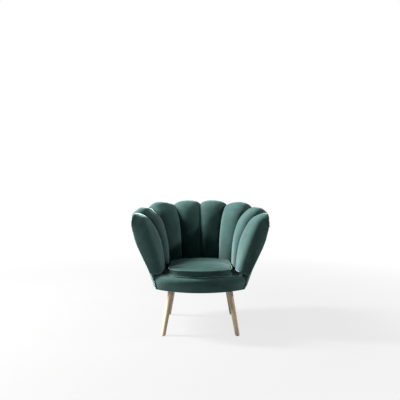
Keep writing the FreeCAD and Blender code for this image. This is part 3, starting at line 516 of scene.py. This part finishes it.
# Puckers start a little way from a seam and fade out over their reach. Slow waves cross the whole face.
PUCKER_START, PUCKER_REACH = 4.0, 17.0
LEFT_PUCKERS, RIGHT_PUCKERS = (31.0, 23.0, 47.0), (29.0, 37.0, 19.0)
SLOW_WAVES, WAVE_SKEW = (170.0, 260.0), 60.0

# A petal's end goes in and down behind the welt, and the arm petal's foot goes down behind the band's end
TUCK_IN, TUCK_DOWN = 5.0, 7.0
ARM_TUCK = np.array((-2.0, 1.0, -8.0))
FOOT_DROPS = (20.0, 10.0)


def petal_frame(petal, level):
    """Points of a petal's section: its inner corner, crown and nose, then the back of its pad."""
    at_arm = petal + 1 == EDGE
    a, b = seam(petal, level), seam(petal + 1, level)
    along, normal = unit(b - a), petal_normal(petal, level)
    crown = np.linalg.norm(b - a) * (ARM_CROWNS if at_arm else CROWNS)[level]
    a, end = a + along * CORNER_GAP, b - along * CORNER_GAP
    depth = ARM_WALL * ARM_WALL_SHARES[level] if at_arm else PAD
    back_a = a + wall_direction(petal, petal, level) * PAD
    back_b = end + wall_direction(petal + 1, petal, level) * depth
    nose = [end] * len(NOSE)
    if at_arm:
        corner = end + np.array((CORNER_OUT[level], 0.0, CORNER_UP[level]))
        nose = [corner + along * NOSE_AHEAD[level] * x - normal * NOSE_OUT[level] * y for x, y in NOSE[:-1]] + [end]
    middle = (a + nose[0]) / 2 + normal * crown
    return [a, middle] + nose + [back_b, back_a]


def bulge_across(petal):
    """How full a petal's face is, from 0 at its seams to 1 along its crown."""
    inner, outer = [(1 - np.abs(FACE) ** blunt) ** root for blunt, root in (BACK_BULGE, BULGES[petal])]
    return np.where(FACE > 0, outer, inner)


def pressed(petal, face):
    """Flattens what would cross a seam, where two petals press on each other."""
    off = (face - foot(petal)) @ across(petal)
    face = face + np.outer(np.maximum(SEAM_GAP - off, 0), across(petal))
    if petal + 1 < EDGE:
        off = (face - foot(petal + 1)) @ across(petal + 1)
        face = face - np.outer(np.maximum(off + SEAM_GAP, 0), across(petal + 1))
    return face


def petal_ring(petal, seed, frame_points, s, length):
    """Ring of a petal at s millimetres along its crown: face, nose, and the walls and back of its pad."""
    a, middle, nose, back_b, back_a = (
        frame_points[0], frame_points[1], frame_points[2:-2], frame_points[-2], frame_points[-1])
    rounded = math.sqrt(1 - (1 - min(max(s / FOOT_ROUND, 0.02), 1)) ** 2)
    nose = nose[-1] + (nose - nose[-1]) * (0.3 + 0.7 * rounded)
    b = nose[0]
    centre = (a + b) / 2
    height = np.linalg.norm(middle - centre)
    # The crown: full in the middle, lower at both ends, and leaning toward the arm
    fullness = bulge_across(petal)
    ends = (0.25 + 0.75 * rounded) * (1 - math.exp(-(length - s) / 9.0) * 0.55)
    upper = min(max((s - 0.50 * length) / (0.25 * length), 0), 1)
    lean_upper, lean_low = LEANS[petal]
    tipped = 1 + (lean_low + (lean_upper - lean_low) * upper) * FACE
    # Puckers run in from the seams, and slow waves run over the whole face
    from_seam = (1 - np.abs(FACE)) * np.linalg.norm(b - a) / 2
    pucker = np.where(FACE < 0, soft_wave(s, seed + 0.7, LEFT_PUCKERS), soft_wave(s, seed + 3.1, RIGHT_PUCKERS))
    pucker = pucker * np.exp(-from_seam / PUCKER_REACH) * (1 - np.exp(-from_seam / PUCKER_START))
    slow = soft_wave(s + WAVE_SKEW * FACE, seed, SLOW_WAVES)
    lift = height * fullness * tipped * ends + (1.0 - 0.7 * upper) * pucker + slow * fullness
    face = centre + np.outer(FACE, (b - a) / 2)
    face = pressed(petal, face + np.outer(lift, (middle - centre) / height))
    share = np.linspace(0, 1, 7)[1:, None]
    wall_b = nose[-1] + (back_b - nose[-1]) * share
    back = back_b + (back_a - back_b) * np.linspace(0, 1, 10)[1:, None]
    wall_a = back_a + (a - back_a) * share[:-1]
    return np.concatenate((face, nose[1:] if petal + 1 == EDGE else nose[:0], wall_b, back, wall_a))


def draw_together(rings, rows_from, columns_from, columns_to, pulls):
    """Moves each point toward the mean of its neighbours, by each of pulls in turn. Rows and columns are given
    as a place and the number of steps over which the pull grows or fades there."""
    (row, row_fade), (first, first_fade), (last, last_fade) = rows_from, columns_from, columns_to
    by_row = np.clip((np.arange(rings.shape[0]) - row) / row_fade, 0, 1)
    columns = np.arange(rings.shape[1])
    by_column = np.clip((columns - first) / first_fade, 0, 1) * np.clip((last - columns) / last_fade, 0, 1)
    weight = np.outer(by_row, by_column)[1:-1, 1:-1, None]
    for pull in pulls:
        mean = (rings[:-2, 1:-1] + rings[2:, 1:-1] + rings[1:-1, :-2] + rings[1:-1, 2:]) / 4
        rings[1:-1, 1:-1] += (mean - rings[1:-1, 1:-1]) * weight * pull


def petal_points(petal, seed):
    """Rings of a petal, from the deck over its crest to the welt, behind which its end is tucked."""
    frames = smooth_through([petal_frame(petal, level) for level in range(LAST_LEVEL + 1)], PETAL_ROWS)
    along = lengths_along(frames[:, 1])
    rings = np.array([petal_ring(petal, seed, points, s, along[-1]) for points, s in zip(frames, along)])
    if petal + 1 < EDGE:
        tuck = unit(outward(petal) + outward(petal + 1)) * -TUCK_IN - UP * TUCK_DOWN
        return np.concatenate((rings, [rings[-1] + tuck * 0.5, rings[-1] + tuck]))
    # The arm's upper outside corner is rounded: pulls that push back in turn smooth it without shrinking it
    draw_together(rings, (60, 20), (22, 12), (68, 5), (0.5, -0.47) * 80)
    draw_together(rings, (76, 12), (38, 6), (64, 4), (0.5,) * 24)
    tucked = [rings[-1] + ARM_TUCK * turn for turn in (0.5, 1.0, 2.0)]
    footed = [rings[0] + arm_edge(DECK - drop) - arm_edge(DECK) for drop in FOOT_DROPS]
    return np.concatenate((footed, rings, tucked))


def petals():
    for petal in range(EDGE):
        for side, side_name in SIDES:
            rings = petal_points(petal, 1.9 * petal + 0.8 * side)
            number = side_name + "_" + str(EDGE - petal)
            piece = make_piece("petal_" + number, on_side(side, rings), ring_faces(*rings.shape[:2]), VELVET_FINISH)
            upholster(piece, "velvet", "chair", 0.9, "petal_cover_" + number, "petal_foam_" + number)


petals()


# Outside covers and their welt

COVER_ROWS = 60
COVER_TOP_GAP, COVER_PULL = 2.4, 0.5         # from a cover's rim to the seams' ends, and how far its slack moves
WELT_LOW, WELT_TURN = BASE_BOTTOM + 3, 30.0  # the welt's lower end, and how far below the rim it starts to turn
WELT_SINK, WELT_LIFT = 2.5, 0.1              # how far it lies below the rim, and off the arm's edge


def shell_top(k):
    return seam(k, LAST_LEVEL)[2]


def shell_point(k, share, inset):
    """Point on the outer shell at a seam: share runs from its foot to its top, inset goes into it."""
    if k == EDGE:
        return arm_edge(BASE_BOTTOM + share * (ARM_TOP - BASE_BOTTOM)) - np.array((inset, 0.0, 0.0))
    start = np.array((SHELL_FOOT * SHELL_FOOT_SHARES[k], BASE_BOTTOM))
    end = np.array((crest_reach(k) + ROLL_REACH, shell_top(k)))
    run = end - start
    normal = unit(np.array((run[1], -run[0])))
    bow = SHELL_BOW * SHELL_BOW_SHARES[k] * 4 * share * (1 - share)
    flat = start + run * share + normal * (bow - inset)
    return rib_point(k, flat[0], flat[1])


def cover_grid(stations, inset, columns):
    """Grid of an outside cover: columns along the chair, rows from its foot to its rim."""
    profiles = []
    for side, k in stations:
        end = ARM_TOP if k == EDGE else shell_top(k)
        top = (shell_top(k) - COVER_TOP_GAP - BASE_BOTTOM) / (end - BASE_BOTTOM)
        column = [shell_point(k, top * share, inset) for share in np.linspace(0, 1, COVER_ROWS)]
        profiles.append(on_side(side, column))
    return smooth_through(profiles, columns)


def outside_cover(name, stations, columns, node):
    """A cover of one cloth thickness over the outer panels, with a little slack between foot and rim."""
    outer, inner = cover_grid(stations, 0.0, columns), cover_grid(stations, VELVET, columns)
    slack = np.sin(math.pi * np.linspace(0, 1, COVER_ROWS)) ** 2
    middle = COVER_ROWS // 2
    for c in range(columns):
        pull = soft_wave(float(c), 0.6, (17.0, 29.0)) * COVER_PULL
        shift = unit(outer[c, middle] - inner[c, middle]) * pull
        outer[c] += np.outer(slack, shift)
        inner[c] += np.outer(slack, shift)
    rings = np.concatenate((outer, inner[:, ::-1]), axis=1)
    piece = make_piece(name, rings, ring_faces(*rings.shape[:2]), SEAT_VELVET)
    upholster(piece, "velvet", "chair", None, node)
    return outer


def rim_path(rim):
    """A cover's rim moved out by the welt's radius and down a little."""
    travel = np.gradient(rim, axis=0)
    out = np.stack((travel[:, 1], -travel[:, 0], np.zeros(len(rim))), axis=1)
    out /= np.linalg.norm(out, axis=1)[:, None]
    out *= np.sign((out * rim).sum(axis=1))[:, None]
    return rim + out * (PIPE + GAP) - UP * WELT_SINK


def outside_welt(arm_outer, back_outer):
    """One long covered cord: up the front of an arm, round the back and down the other arm."""
    arm_rim = rim_path(arm_outer[:, -1])[6::6]
    back_rim = rim_path(back_outer[:, -1])[3:-3:7]
    heights = np.linspace(WELT_LOW, arm_rim[0][2] - WELT_TURN, 15)
    front = np.array([arm_edge(z) - EDGE_IN * (PIPE + GAP + WELT_LIFT) for z in heights])
    right = np.concatenate((front, arm_rim[:-1]))
    path = smooth_through(np.concatenate((on_side(-1, right), back_rim, right[::-1])), 700)
    rings = tube_rings(path, PIPE, 10, False)
    piece = make_piece("welt", rings, ring_faces(*rings.shape[:2]), VELVET_FINISH)
    upholster(piece, "velvet", "chair", None, "outside_welt")


def outside():
    back_stations = [(-1, 2), (-1, 1), (1, 0), (1, 1), (1, 2)]
    arm_outer = {}
    for side, side_name in SIDES[::-1]:
        arm_stations = [(side, EDGE), (side, 3), (side, 2)]
        arm_outer[side] = outside_cover("outside_arm_" + side_name, arm_stations, 60,
                                        "outside_arm_cover_" + side_name)
    back_outer = outside_cover("outside_back", back_stations, 110, "outside_back_cover")
    outside_welt(arm_outer[1], back_outer)


outside()


# Front band: velvet over foam, rolled over at the top into a ledge under the cushion, turned under at the foot

BAND_MIDDLE, BAND_BELOW, BAND_ABOVE = 357.0, 22.0, 13.0      # its reach to the front, and the bow of its profile
BAND_ROLL, BAND_LEDGE = 44.0, 152.0
BAND_FOAM, BAND_SKIN, BAND_SLACK = 21.0, 1.6, 0.35


def band_share(height):
    return (height - BASE_BOTTOM) / (DECK - BASE_BOTTOM)


def band_apex(height):
    share = band_share(height)
    below = BAND_BELOW * (1 - share) * (1 - 2 * share)
    return BAND_MIDDLE - below + BAND_ABOVE * share * (2 * share - 1)


def band_point(turn, height, inset):
    """Point of the band: turn runs from -1 at the left end to 1 at the right end, on an arc between the arms."""
    corner = arm_edge(height)
    apex = -band_apex(height)
    sagitta = corner[1] - apex
    radius = (corner[0] ** 2 + sagitta ** 2) / (2 * sagitta)
    angle = turn * math.asin(corner[0] / radius)
    centre = apex + radius
    reach = radius - inset
    return np.array((reach * math.sin(angle), centre - reach * math.cos(angle), height))


def band_section():
    """Heights and insets of the band's section, from its turned-under foot over the roll to the foam's back."""
    foot_turn = ((0.0, 20.0), (0.0, 10.0), (0.0, 4.0), (0.5, 1.6), (1.6, 0.5))
    section = [(BASE_BOTTOM + rise, inset) for rise, inset in foot_turn]
    section += [(z, 0.0) for z in np.linspace(BASE_BOTTOM + 4, DECK - BAND_ROLL, 22)]
    for angle in np.linspace(0, math.pi / 2, 9)[1:]:
        section.append((DECK - BAND_ROLL * (1 - math.sin(angle)), BAND_ROLL * (1 - math.cos(angle))))
    section += [(DECK, BAND_ROLL + (BAND_LEDGE - BAND_ROLL) * share) for share in (0.35, 0.7, 1.0)]
    section += [(DECK - BAND_SKIN, BAND_LEDGE), (DECK - BAND_SKIN, BAND_ROLL + 1.5)]
    return section + [(BASE_BOTTOM + 50, BAND_FOAM + 0.5), (BASE_BOTTOM + 4, BAND_FOAM)]


def front_band():
    rings = []
    for turn in np.linspace(-1, 1, 150):
        slack = soft_wave(turn * 300.0, 0.4, (150.0, 95.0)) * BAND_SLACK
        ring = []
        for height, inset in band_section():
            if inset < BAND_FOAM - 1:
                inset += slack * math.sin(math.pi * min(max(band_share(height), 0), 1))
            ring.append(band_point(turn, min(height, DECK - 0.001), inset))
        rings.append(ring)
    rings = np.array(rings)
    piece = make_piece("front_band", rings, ring_faces(*rings.shape[:2]), BAND_VELVET)
    upholster(piece, "velvet", "chair", 0.8, "front_band_cover", "front_band_foam")


front_band()


# Deck pad, dust sheet and webbing

LONGEST_EDGE = 26.0
SAG_EDGE = 60.0                              # how far from its fastened edge a cloth hangs nearly free
WEB_WIDTH, WEB_THICK = 50.0, 1.8
WEB_OVER, WEB_UNDER, WEB_BEND = 0.8, -0.1, 22.0
WEB_ROWS, WEB_ROW_SHARES, WEB_ROW_END = 285.0, (-0.85, -0.56, -0.27, 0.02, 0.31, 0.57), 214.0
WEB_COLUMNS, WEB_COLUMN_SHARES, WEB_COLUMN_ENDS = 200.0, (-0.70, -0.35, 0.0, 0.35, 0.70), (-299.0, 199.0)


def top_faces(node):
    """The flat top of a node's mesh, alone."""
    shape = bmesh.new()
    shape.from_mesh(NODES[node].data)
    bmesh.ops.remove_doubles(shape, verts=shape.verts, dist=0.05 * MM)
    high = max(v.co.z for v in shape.verts)
    others = [f for f in shape.faces if f.normal.z < 0.9 or f.calc_center_median().z < high - 0.1 * MM]
    bmesh.ops.delete(shape, geom=others, context="FACES")
    return shape


def laid_sheet(name, node, thickness, drop, front, material):
    """A flat cloth cut to a node's plan. It sags by drop between its fastened edges, and what lies before
    front is drawn in to half."""
    shape = top_faces(node)
    lines = [(e.verts[0].co.copy(), e.verts[1].co.copy()) for e in shape.edges if e.is_boundary]
    for _ in range(6):
        long_edges = [e for e in shape.edges if e.calc_length() > LONGEST_EDGE * MM]
        if not long_edges:
            break
        bmesh.ops.subdivide_edges(shape, edges=long_edges, cuts=1)
        bmesh.ops.triangulate(shape, faces=shape.faces)
    bmesh.ops.beautify_fill(shape, faces=shape.faces, edges=[e for e in shape.edges if not e.is_boundary])
    starts = np.array([a for a, b in lines])
    runs = np.array([b - a for a, b in lines])
    lengths = (runs ** 2).sum(axis=1)
    edge = front * MM
    for v in shape.verts:
        if v.co.y < edge:
            v.co.y = edge + (v.co.y - edge) * 0.5
        at = np.array(v.co)
        share = np.clip(((at - starts) * runs).sum(axis=1) / lengths, 0, 1)
        near = np.linalg.norm(at - starts - runs * share[:, None], axis=1).min()
        v.co.z -= drop * MM * (1 - 0.1 * math.exp(-near / (SAG_EDGE * MM)))
    made = bmesh.ops.extrude_face_region(shape, geom=list(shape.faces))
    for v in [g for g in made["geom"] if isinstance(g, bmesh.types.BMVert)]:
        v.co.z -= thickness * MM
    bmesh.ops.recalc_face_normals(shape, faces=shape.faces)
    for face in shape.faces:
        face.smooth = False
    mesh = bpy.data.meshes.new(name)
    shape.to_mesh(mesh)
    shape.free()
    return place_mesh(name, mesh, material)


def strap(along, middle, start, end, low, crossings, over_first, weave):
    """A flat strap along one axis that weaves over and under the straps across it."""
    steps = np.linspace(start, end, 90)
    wave = np.zeros_like(steps)
    for i, crossing in enumerate(crossings):
        lift = WEB_OVER if (i % 2 == 0) == over_first else WEB_UNDER
        wave += lift * np.exp(-((steps - crossing) / WEB_BEND) ** 2)
    rings = []
    for s, w in zip(steps, wave):
        ring = []
        for offset, z in ((-1, 0), (0, 0), (1, 0), (1, WEB_THICK), (0, WEB_THICK), (-1, WEB_THICK)):
            point = np.zeros(3)
            point[along] = s
            point[1 - along] = middle + offset * WEB_WIDTH / 2
            point[2] = low + z + w * weave
            ring.append(point)
        rings.append(ring)
    return np.array(rings)


def webbing():
    row_ys = [share * WEB_ROWS for share in WEB_ROW_SHARES]
    column_xs = [share * WEB_COLUMNS for share in WEB_COLUMN_SHARES]
    for name, along, places, (start, end), low, crossings, sign in (
        ("webbing_crosswise", 0, row_ys, (-WEB_ROW_END, WEB_ROW_END), RING_TOP, column_xs, 1),
        ("webbing_lengthwise", 1, column_xs, WEB_COLUMN_ENDS, RING_TOP + WEB_THICK, row_ys, -1),
    ):
        straps = []
        for i, place in enumerate(places):
            short = 0.8 if along == 0 and i == len(places) - 1 else 1.0     # the base narrows at the back
            over_first = (i % 2 == 0) == (sign > 0)
            straps.append(strap(along, place, start * short, end * short, low, crossings, over_first, sign * 0.5))
        piece = make_piece(name + "_straps", *joined(straps), WEBBING, smooth=False)
        upholster(piece, "webbing", "chair", None, name)


deck = laid_sheet("deck_pad", "deck_cover", 5.5, 4.0, -200.0, LINING)
upholster(deck, "lining", "chair", 0.5, "deck_cover", "deck_foam")
dust = laid_sheet("dust_sheet", "dust_cover", 0.9, 0.0, -900.0, LINING)
upholster(dust, "lining", "chair", None, "dust_cover")
webbing()


# Loose seat cushion: crowned top, boxing, piping on both edges

SEAT_HALF_WIDTH, SEAT_FRONT, SEAT_REAR, SAGITTA = 182.7, 334.7, 179.7, 58.0
FRONT_CORNER, REAR_CORNER = 105.0, 158.0
SEAT_MIDDLE = np.array((0.0, -77.5))
BOXING, BELLY, CROWN = 34.0, 3.0, 7.0
SEAT_LOW = DECK + GAP
LOWER_SEAM, UPPER_SEAM = SEAT_LOW + BELLY, SEAT_LOW + BELLY + BOXING
ROUND = 260                                  # points round the cushion
INNERMOST = 0.04                             # share of the plan at which top and underside are closed
UNDERSIDE = (198.0 - BELLY) / 198.0          # the flat underside's share of the plan
BOXING_DRAW = 0.012                          # share of the plan by which the boxing pulls in between its seams
SHOULDER, SHOULDER_SHARE = 10.0, 0.25        # how far the top rises just inside its seam, and how soon
FRONT_SHOULDER, FRONT_RUN = 17.0, 250.0      # how much more it rises at the front, and how far that reaches back
EAR_X, EAR_Y, EAR_SPREAD, EAR_LIFT = 168.0, -292.0, 30.0, 2.5    # the front corners stand up a little
ZIP_HALF_LENGTH, ZIP_HALF_WIDTH, ZIP_SINK = 131.0, 6.0, 1.6
RUMPLE, PIPING_SUNK = 0.9, 0.4


def seat_plan():
    """Plan of the cushion's seams as evenly spaced points."""
    radius = (SEAT_HALF_WIDTH ** 2 + SAGITTA ** 2) / (2 * SAGITTA)
    hub = np.array((0.0, radius - SEAT_FRONT))
    rear = np.array((SEAT_HALF_WIDTH - REAR_CORNER, SEAT_REAR - REAR_CORNER))
    side = SEAT_HALF_WIDTH - FRONT_CORNER
    front = np.array((side, hub[1] - math.sqrt((radius - FRONT_CORNER) ** 2 - side ** 2)))
    swing = math.atan2(front[1] - hub[1], front[0])
    points = []
    for centre, reach, angles in (
        (hub, radius, np.linspace(-math.pi / 2, swing, 60)[:-1]),
        (front, FRONT_CORNER, np.linspace(swing, 0, 24)),
        (rear, REAR_CORNER, np.linspace(0, math.pi / 2, 60)),
    ):
        points += [centre + reach * np.array((math.cos(angle), math.sin(angle))) for angle in angles]
    points.append(np.array((0.0, SEAT_REAR)))
    right = np.array(points)
    outline = np.concatenate((right, (right * (-1, 1))[::-1][1:]))
    along = lengths_along(outline)
    even = np.linspace(0, along[-1], ROUND, endpoint=False)
    return np.stack([np.interp(even, along, outline[:, i]) for i in (0, 1)], axis=1)


def seat_ring(plan, scale, height):
    """The plan drawn in about its middle, at one height or at a height for each point."""
    flat = SEAT_MIDDLE + (plan - SEAT_MIDDLE) * scale
    return np.column_stack((flat, np.broadcast_to(height, len(flat))))


def corner_lift(plan):
    """How far the cushion's front corners stand up, point by point."""
    near = [np.exp(-((plan - np.array((x, EAR_Y))) ** 2).sum(axis=1) / EAR_SPREAD ** 2) for x in (EAR_X, -EAR_X)]
    return EAR_LIFT * (near[0] + near[1])


def cushion_rings(plan):
    """Rings from the middle of the underside round to the middle of the top, and which of them are seams."""
    lift = corner_lift(plan)
    rings = [seat_ring(plan, scale, SEAT_LOW) for scale in np.linspace(INNERMOST, 0.96, 22)]
    rings.append(seat_ring(plan, UNDERSIDE, SEAT_LOW))
    lower = len(rings)
    rings.append(seat_ring(plan, 1.0, LOWER_SEAM))
    for share in np.linspace(0, 1, 9)[1:-1]:
        drawn = 1 - BOXING_DRAW * math.sin(math.pi * share)
        rings.append(seat_ring(plan, drawn, LOWER_SEAM + BOXING * share))
    upper = len(rings)
    rings.append(seat_ring(plan, 1.0, UPPER_SEAM + lift))
    for scale in np.linspace(1.0, INNERMOST, 32)[1:]:
        forward = np.clip((SEAT_MIDDLE[1] - plan[:, 1]) / FRONT_RUN, 0, 1) * scale
        turned = (SHOULDER + FRONT_SHOULDER * forward) * (1 - math.exp((scale - 1) / SHOULDER_SHARE))
        height = UPPER_SEAM + turned + CROWN * (1 - scale ** 2) + lift * scale ** 8
        rings.append(seat_ring(plan, scale, height))
    return np.array(rings), lower, upper


def inflate(piece, pinned, pressure, cap):
    """Fills a sewn cover with cloth simulation, holding its seams, and keeps each point within cap."""
    mesh = piece.data
    start = np.array([v.co for v in mesh.vertices])
    group = piece.vertex_groups.new(name="seams")
    group.add(pinned, 1.0, "REPLACE")
    cloth = piece.modifiers.new("Cloth", "CLOTH")
    for name, value in (
        ("quality", 5), ("mass", 0.35), ("tension_stiffness", 12), ("compression_stiffness", 12),
        ("bending_stiffness", 0.6), ("use_pressure", True), ("uniform_pressure_force", pressure),
        ("vertex_group_mass", "seams"),
    ):
        setattr(cloth.settings, name, value)
    cloth.settings.effector_weights.gravity = 0
    cloth.collision_settings.use_collision = False
    cloth.collision_settings.use_self_collision = False
    cloth.point_cache.frame_start = 1
    cloth.point_cache.frame_end = 20
    scene = bpy.context.scene
    for number in range(1, 21):
        scene.frame_set(number)
    shown = piece.evaluated_get(bpy.context.evaluated_depsgraph_get())
    move = np.array([v.co for v in shown.data.vertices]) - start
    size = np.linalg.norm(move, axis=1)[:, None]
    move *= np.minimum(1, cap * MM / np.maximum(size, 1e-9))
    piece.modifiers.remove(cloth)
    mesh.vertices.foreach_set("co", (start + move).ravel())
    mesh.update()
    scene.frame_set(1)


def cushion_cover(plan):
    rings, lower, upper = cushion_rings(plan)
    piece = make_piece("seat_cushion_cover", rings, ring_faces(*rings.shape[:2]), SEAT_VELVET)
    boxing_start, boxing_end, top_start = (lower + 1) * ROUND, upper * ROUND, (upper + 1) * ROUND
    inflate(piece, list(range(boxing_start)) + list(range(boxing_end, top_start)), 1.2, 3.0)
    points = np.array([v.co for v in piece.data.vertices]) / MM
    # The zip lies in a shallow trough along the middle of the boxing at the back
    part = points[boxing_start:boxing_end]
    beside = np.abs(part[:, 2] - (LOWER_SEAM + BOXING / 2)) < ZIP_HALF_WIDTH
    behind = (np.abs(part[:, 0]) < ZIP_HALF_LENGTH) & (part[:, 1] > 0) & beside
    part[behind, 1] -= ZIP_SINK
    # The top is rumpled by slow waves that cross each other
    top = points[top_start + 1:]
    rumple = soft_wave(top[:, 0] + top[:, 1] * 0.35, 0.9, (83.0, 131.0)) * soft_wave(top[:, 1], 2.2, (97.0, 61.0))
    top[:, 2] += RUMPLE * rumple
    piece.data.vertices.foreach_set("co", (points * MM).ravel())
    piece.data.update()
    upholster(piece, "velvet", "seat_cushion", 0.85, "cushion_cover", "cushion_foam")


def cushion_piping(plan):
    around = np.roll(plan, -1, axis=0) - np.roll(plan, 1, axis=0)
    out = np.stack((around[:, 1], -around[:, 0]), axis=1)
    out /= np.linalg.norm(out, axis=1)[:, None]
    cords = []
    for height in (np.full(ROUND, LOWER_SEAM), UPPER_SEAM + corner_lift(plan)):
        path = np.column_stack((plan + out * (PIPE - PIPING_SUNK), height))
        cords.append(tube_rings(path, PIPE, 10, True))
    piping = make_piece("seat_cushion_piping", *joined(cords, closed_rows=True), VELVET_FINISH)
    upholster(piping, "velvet", "seat_cushion", None, "cushion_piping")


plan = seat_plan()
cushion_cover(plan)
cushion_piping(plan)


# Finishes of the rigid pieces, which keep the solids' own meshes. What isn't named is plywood.

FINISHES = (
    (LEG_WOOD, ("leg_front_left", "leg_front_right", "leg_rear_left", "leg_rear_right")),
    (ZINC, ("leg_hanger_bolts", "leg_mounting_plates", "leg_plate_screws", "rib_screws", "dust_cover_staples")),
    (GLIDE, ("floor_glides",)),
    (ZIP, ("cushion_zip",)),
    (FIBREBOARD, ("inner_liner_panels", "outer_liner_panels")),
)
finished = {name: finish for finish, names in FINISHES for name in names}
for name, node in NODES.items():
    if not node.hide_render:
        node.material_slots[0].material = finished.get(name, PLYWOOD)


# Floor, light and camera

def either(tree, first, second):
    return add_node(tree, "Math", {"operation": "MAXIMUM"}, {0: first, 1: second}).outputs[0]


def pale_floor():
    """Matt white studio floor that fades to plain white far behind."""
    material, tree, place = new_material("matt_white_floor")
    distance = add_node(tree, "VectorMath", {"operation": "LENGTH"}, {0: place}).outputs["Value"]
    far = add_node(tree, "MapRange", {}, {"Value": distance, "From Min": 0.9, "From Max": 3.2}).outputs[0]
    colour = ramp(tree, noise(tree, place, 40.0, 3.0), "#80807F", "#838382")
    surface = add_node(tree, "BsdfPrincipled", {}, {"Base Color": colour, "Roughness": 0.9, "IOR": 1.3})
    white = add_node(tree, "Emission", {}, {"Color": linear("#FFFFFF"), "Strength": 1.0})
    rays = add_node(tree, "LightPath", {}, {}).outputs
    seen = either(tree, rays["Is Camera Ray"], rays["Is Glossy Ray"])
    amount = add_node(tree, "Math", {"operation": "MULTIPLY"}, {
        0: add_node(tree, "MapRange", {}, {"Value": far, "To Min": 0.772}).outputs[0], 1: seen,
    }).outputs[0]
    mixed = add_node(tree, "MixShader", {}, {0: amount, 1: surface.outputs[0], 2: white.outputs[0]})
    add_node(tree, "OutputMaterial", {}, {"Surface": mixed.outputs[0]})
    return material


def white_studio():
    """World that is plain white where it is seen and lights the chair only faintly."""
    world = bpy.data.worlds.new("studio")
    bpy.context.scene.world = world
    world.use_nodes = True
    sky = world.node_tree
    sky.nodes.clear()
    rays = add_node(sky, "LightPath", {}, {}).outputs
    seen = either(sky, either(sky, rays["Is Camera Ray"], rays["Is Glossy Ray"]), rays["Is Transmission Ray"])
    level = between(sky, seen, 0.020, 1.0)
    glow = add_node(sky, "Background", {}, {"Color": linear("#FFFFFF"), "Strength": level})
    add_node(sky, "OutputWorld", {}, {"Surface": glow.outputs[0]})


def soft_lamp(name, place, aim, width, height, power):
    """A rectangular lamp in metres and watts, turned toward a point."""
    lamp = bpy.data.lights.new(name, "AREA")
    lamp.shape = "RECTANGLE"
    lamp.size, lamp.size_y = width, height
    lamp.energy = power
    item = bpy.data.objects.new(name, lamp)
    bpy.context.scene.collection.objects.link(item)
    item.location = place
    heading = np.array(aim) - np.array(place)
    flat = math.hypot(heading[0], heading[1])
    item.rotation_euler = (math.atan2(flat, -heading[2]), 0.0, math.atan2(heading[1], heading[0]) - math.pi / 2)


floor_corners = [(-9000, -9000, 0), (9000, -9000, 0), (9000, 30000, 0), (-9000, 30000, 0)]
make_piece("studio_floor", floor_corners, [(0, 1, 2, 3)], pale_floor(), smooth=False)
white_studio()
soft_lamp("key_strip", (-3.0, 0.30, 2.90), (0.0, 0.0, 0.6), 0.5, 1.9, 600.0)
soft_lamp("fill_lamp", (3.0, -0.35, 2.05), (0.0, 0.0, 0.5), 0.20, 0.20, 62.0)
soft_lamp("side_lamp", (-2.4, -1.3, 1.5), (0.0, 0.0, 0.45), 0.30, 0.30, 40.0)
soft_lamp("top_lamp", (0.0, 0.0, 3.2), (0.0, 0.0, 0.4), 1.4, 1.4, 4.0)

camera_data = bpy.data.cameras.new("camera")
camera_data.lens = 36.0
camera_data.sensor_width = 36.0
camera = bpy.data.objects.new("camera", camera_data)
bpy.context.scene.collection.objects.link(camera)
camera.location = (-0.002, -2.56, 0.785)
camera.rotation_euler = (math.pi / 2, 0.0, 0.0)
bpy.context.scene.camera = camera
bpy.context.scene.view_settings.view_transform = "Standard"
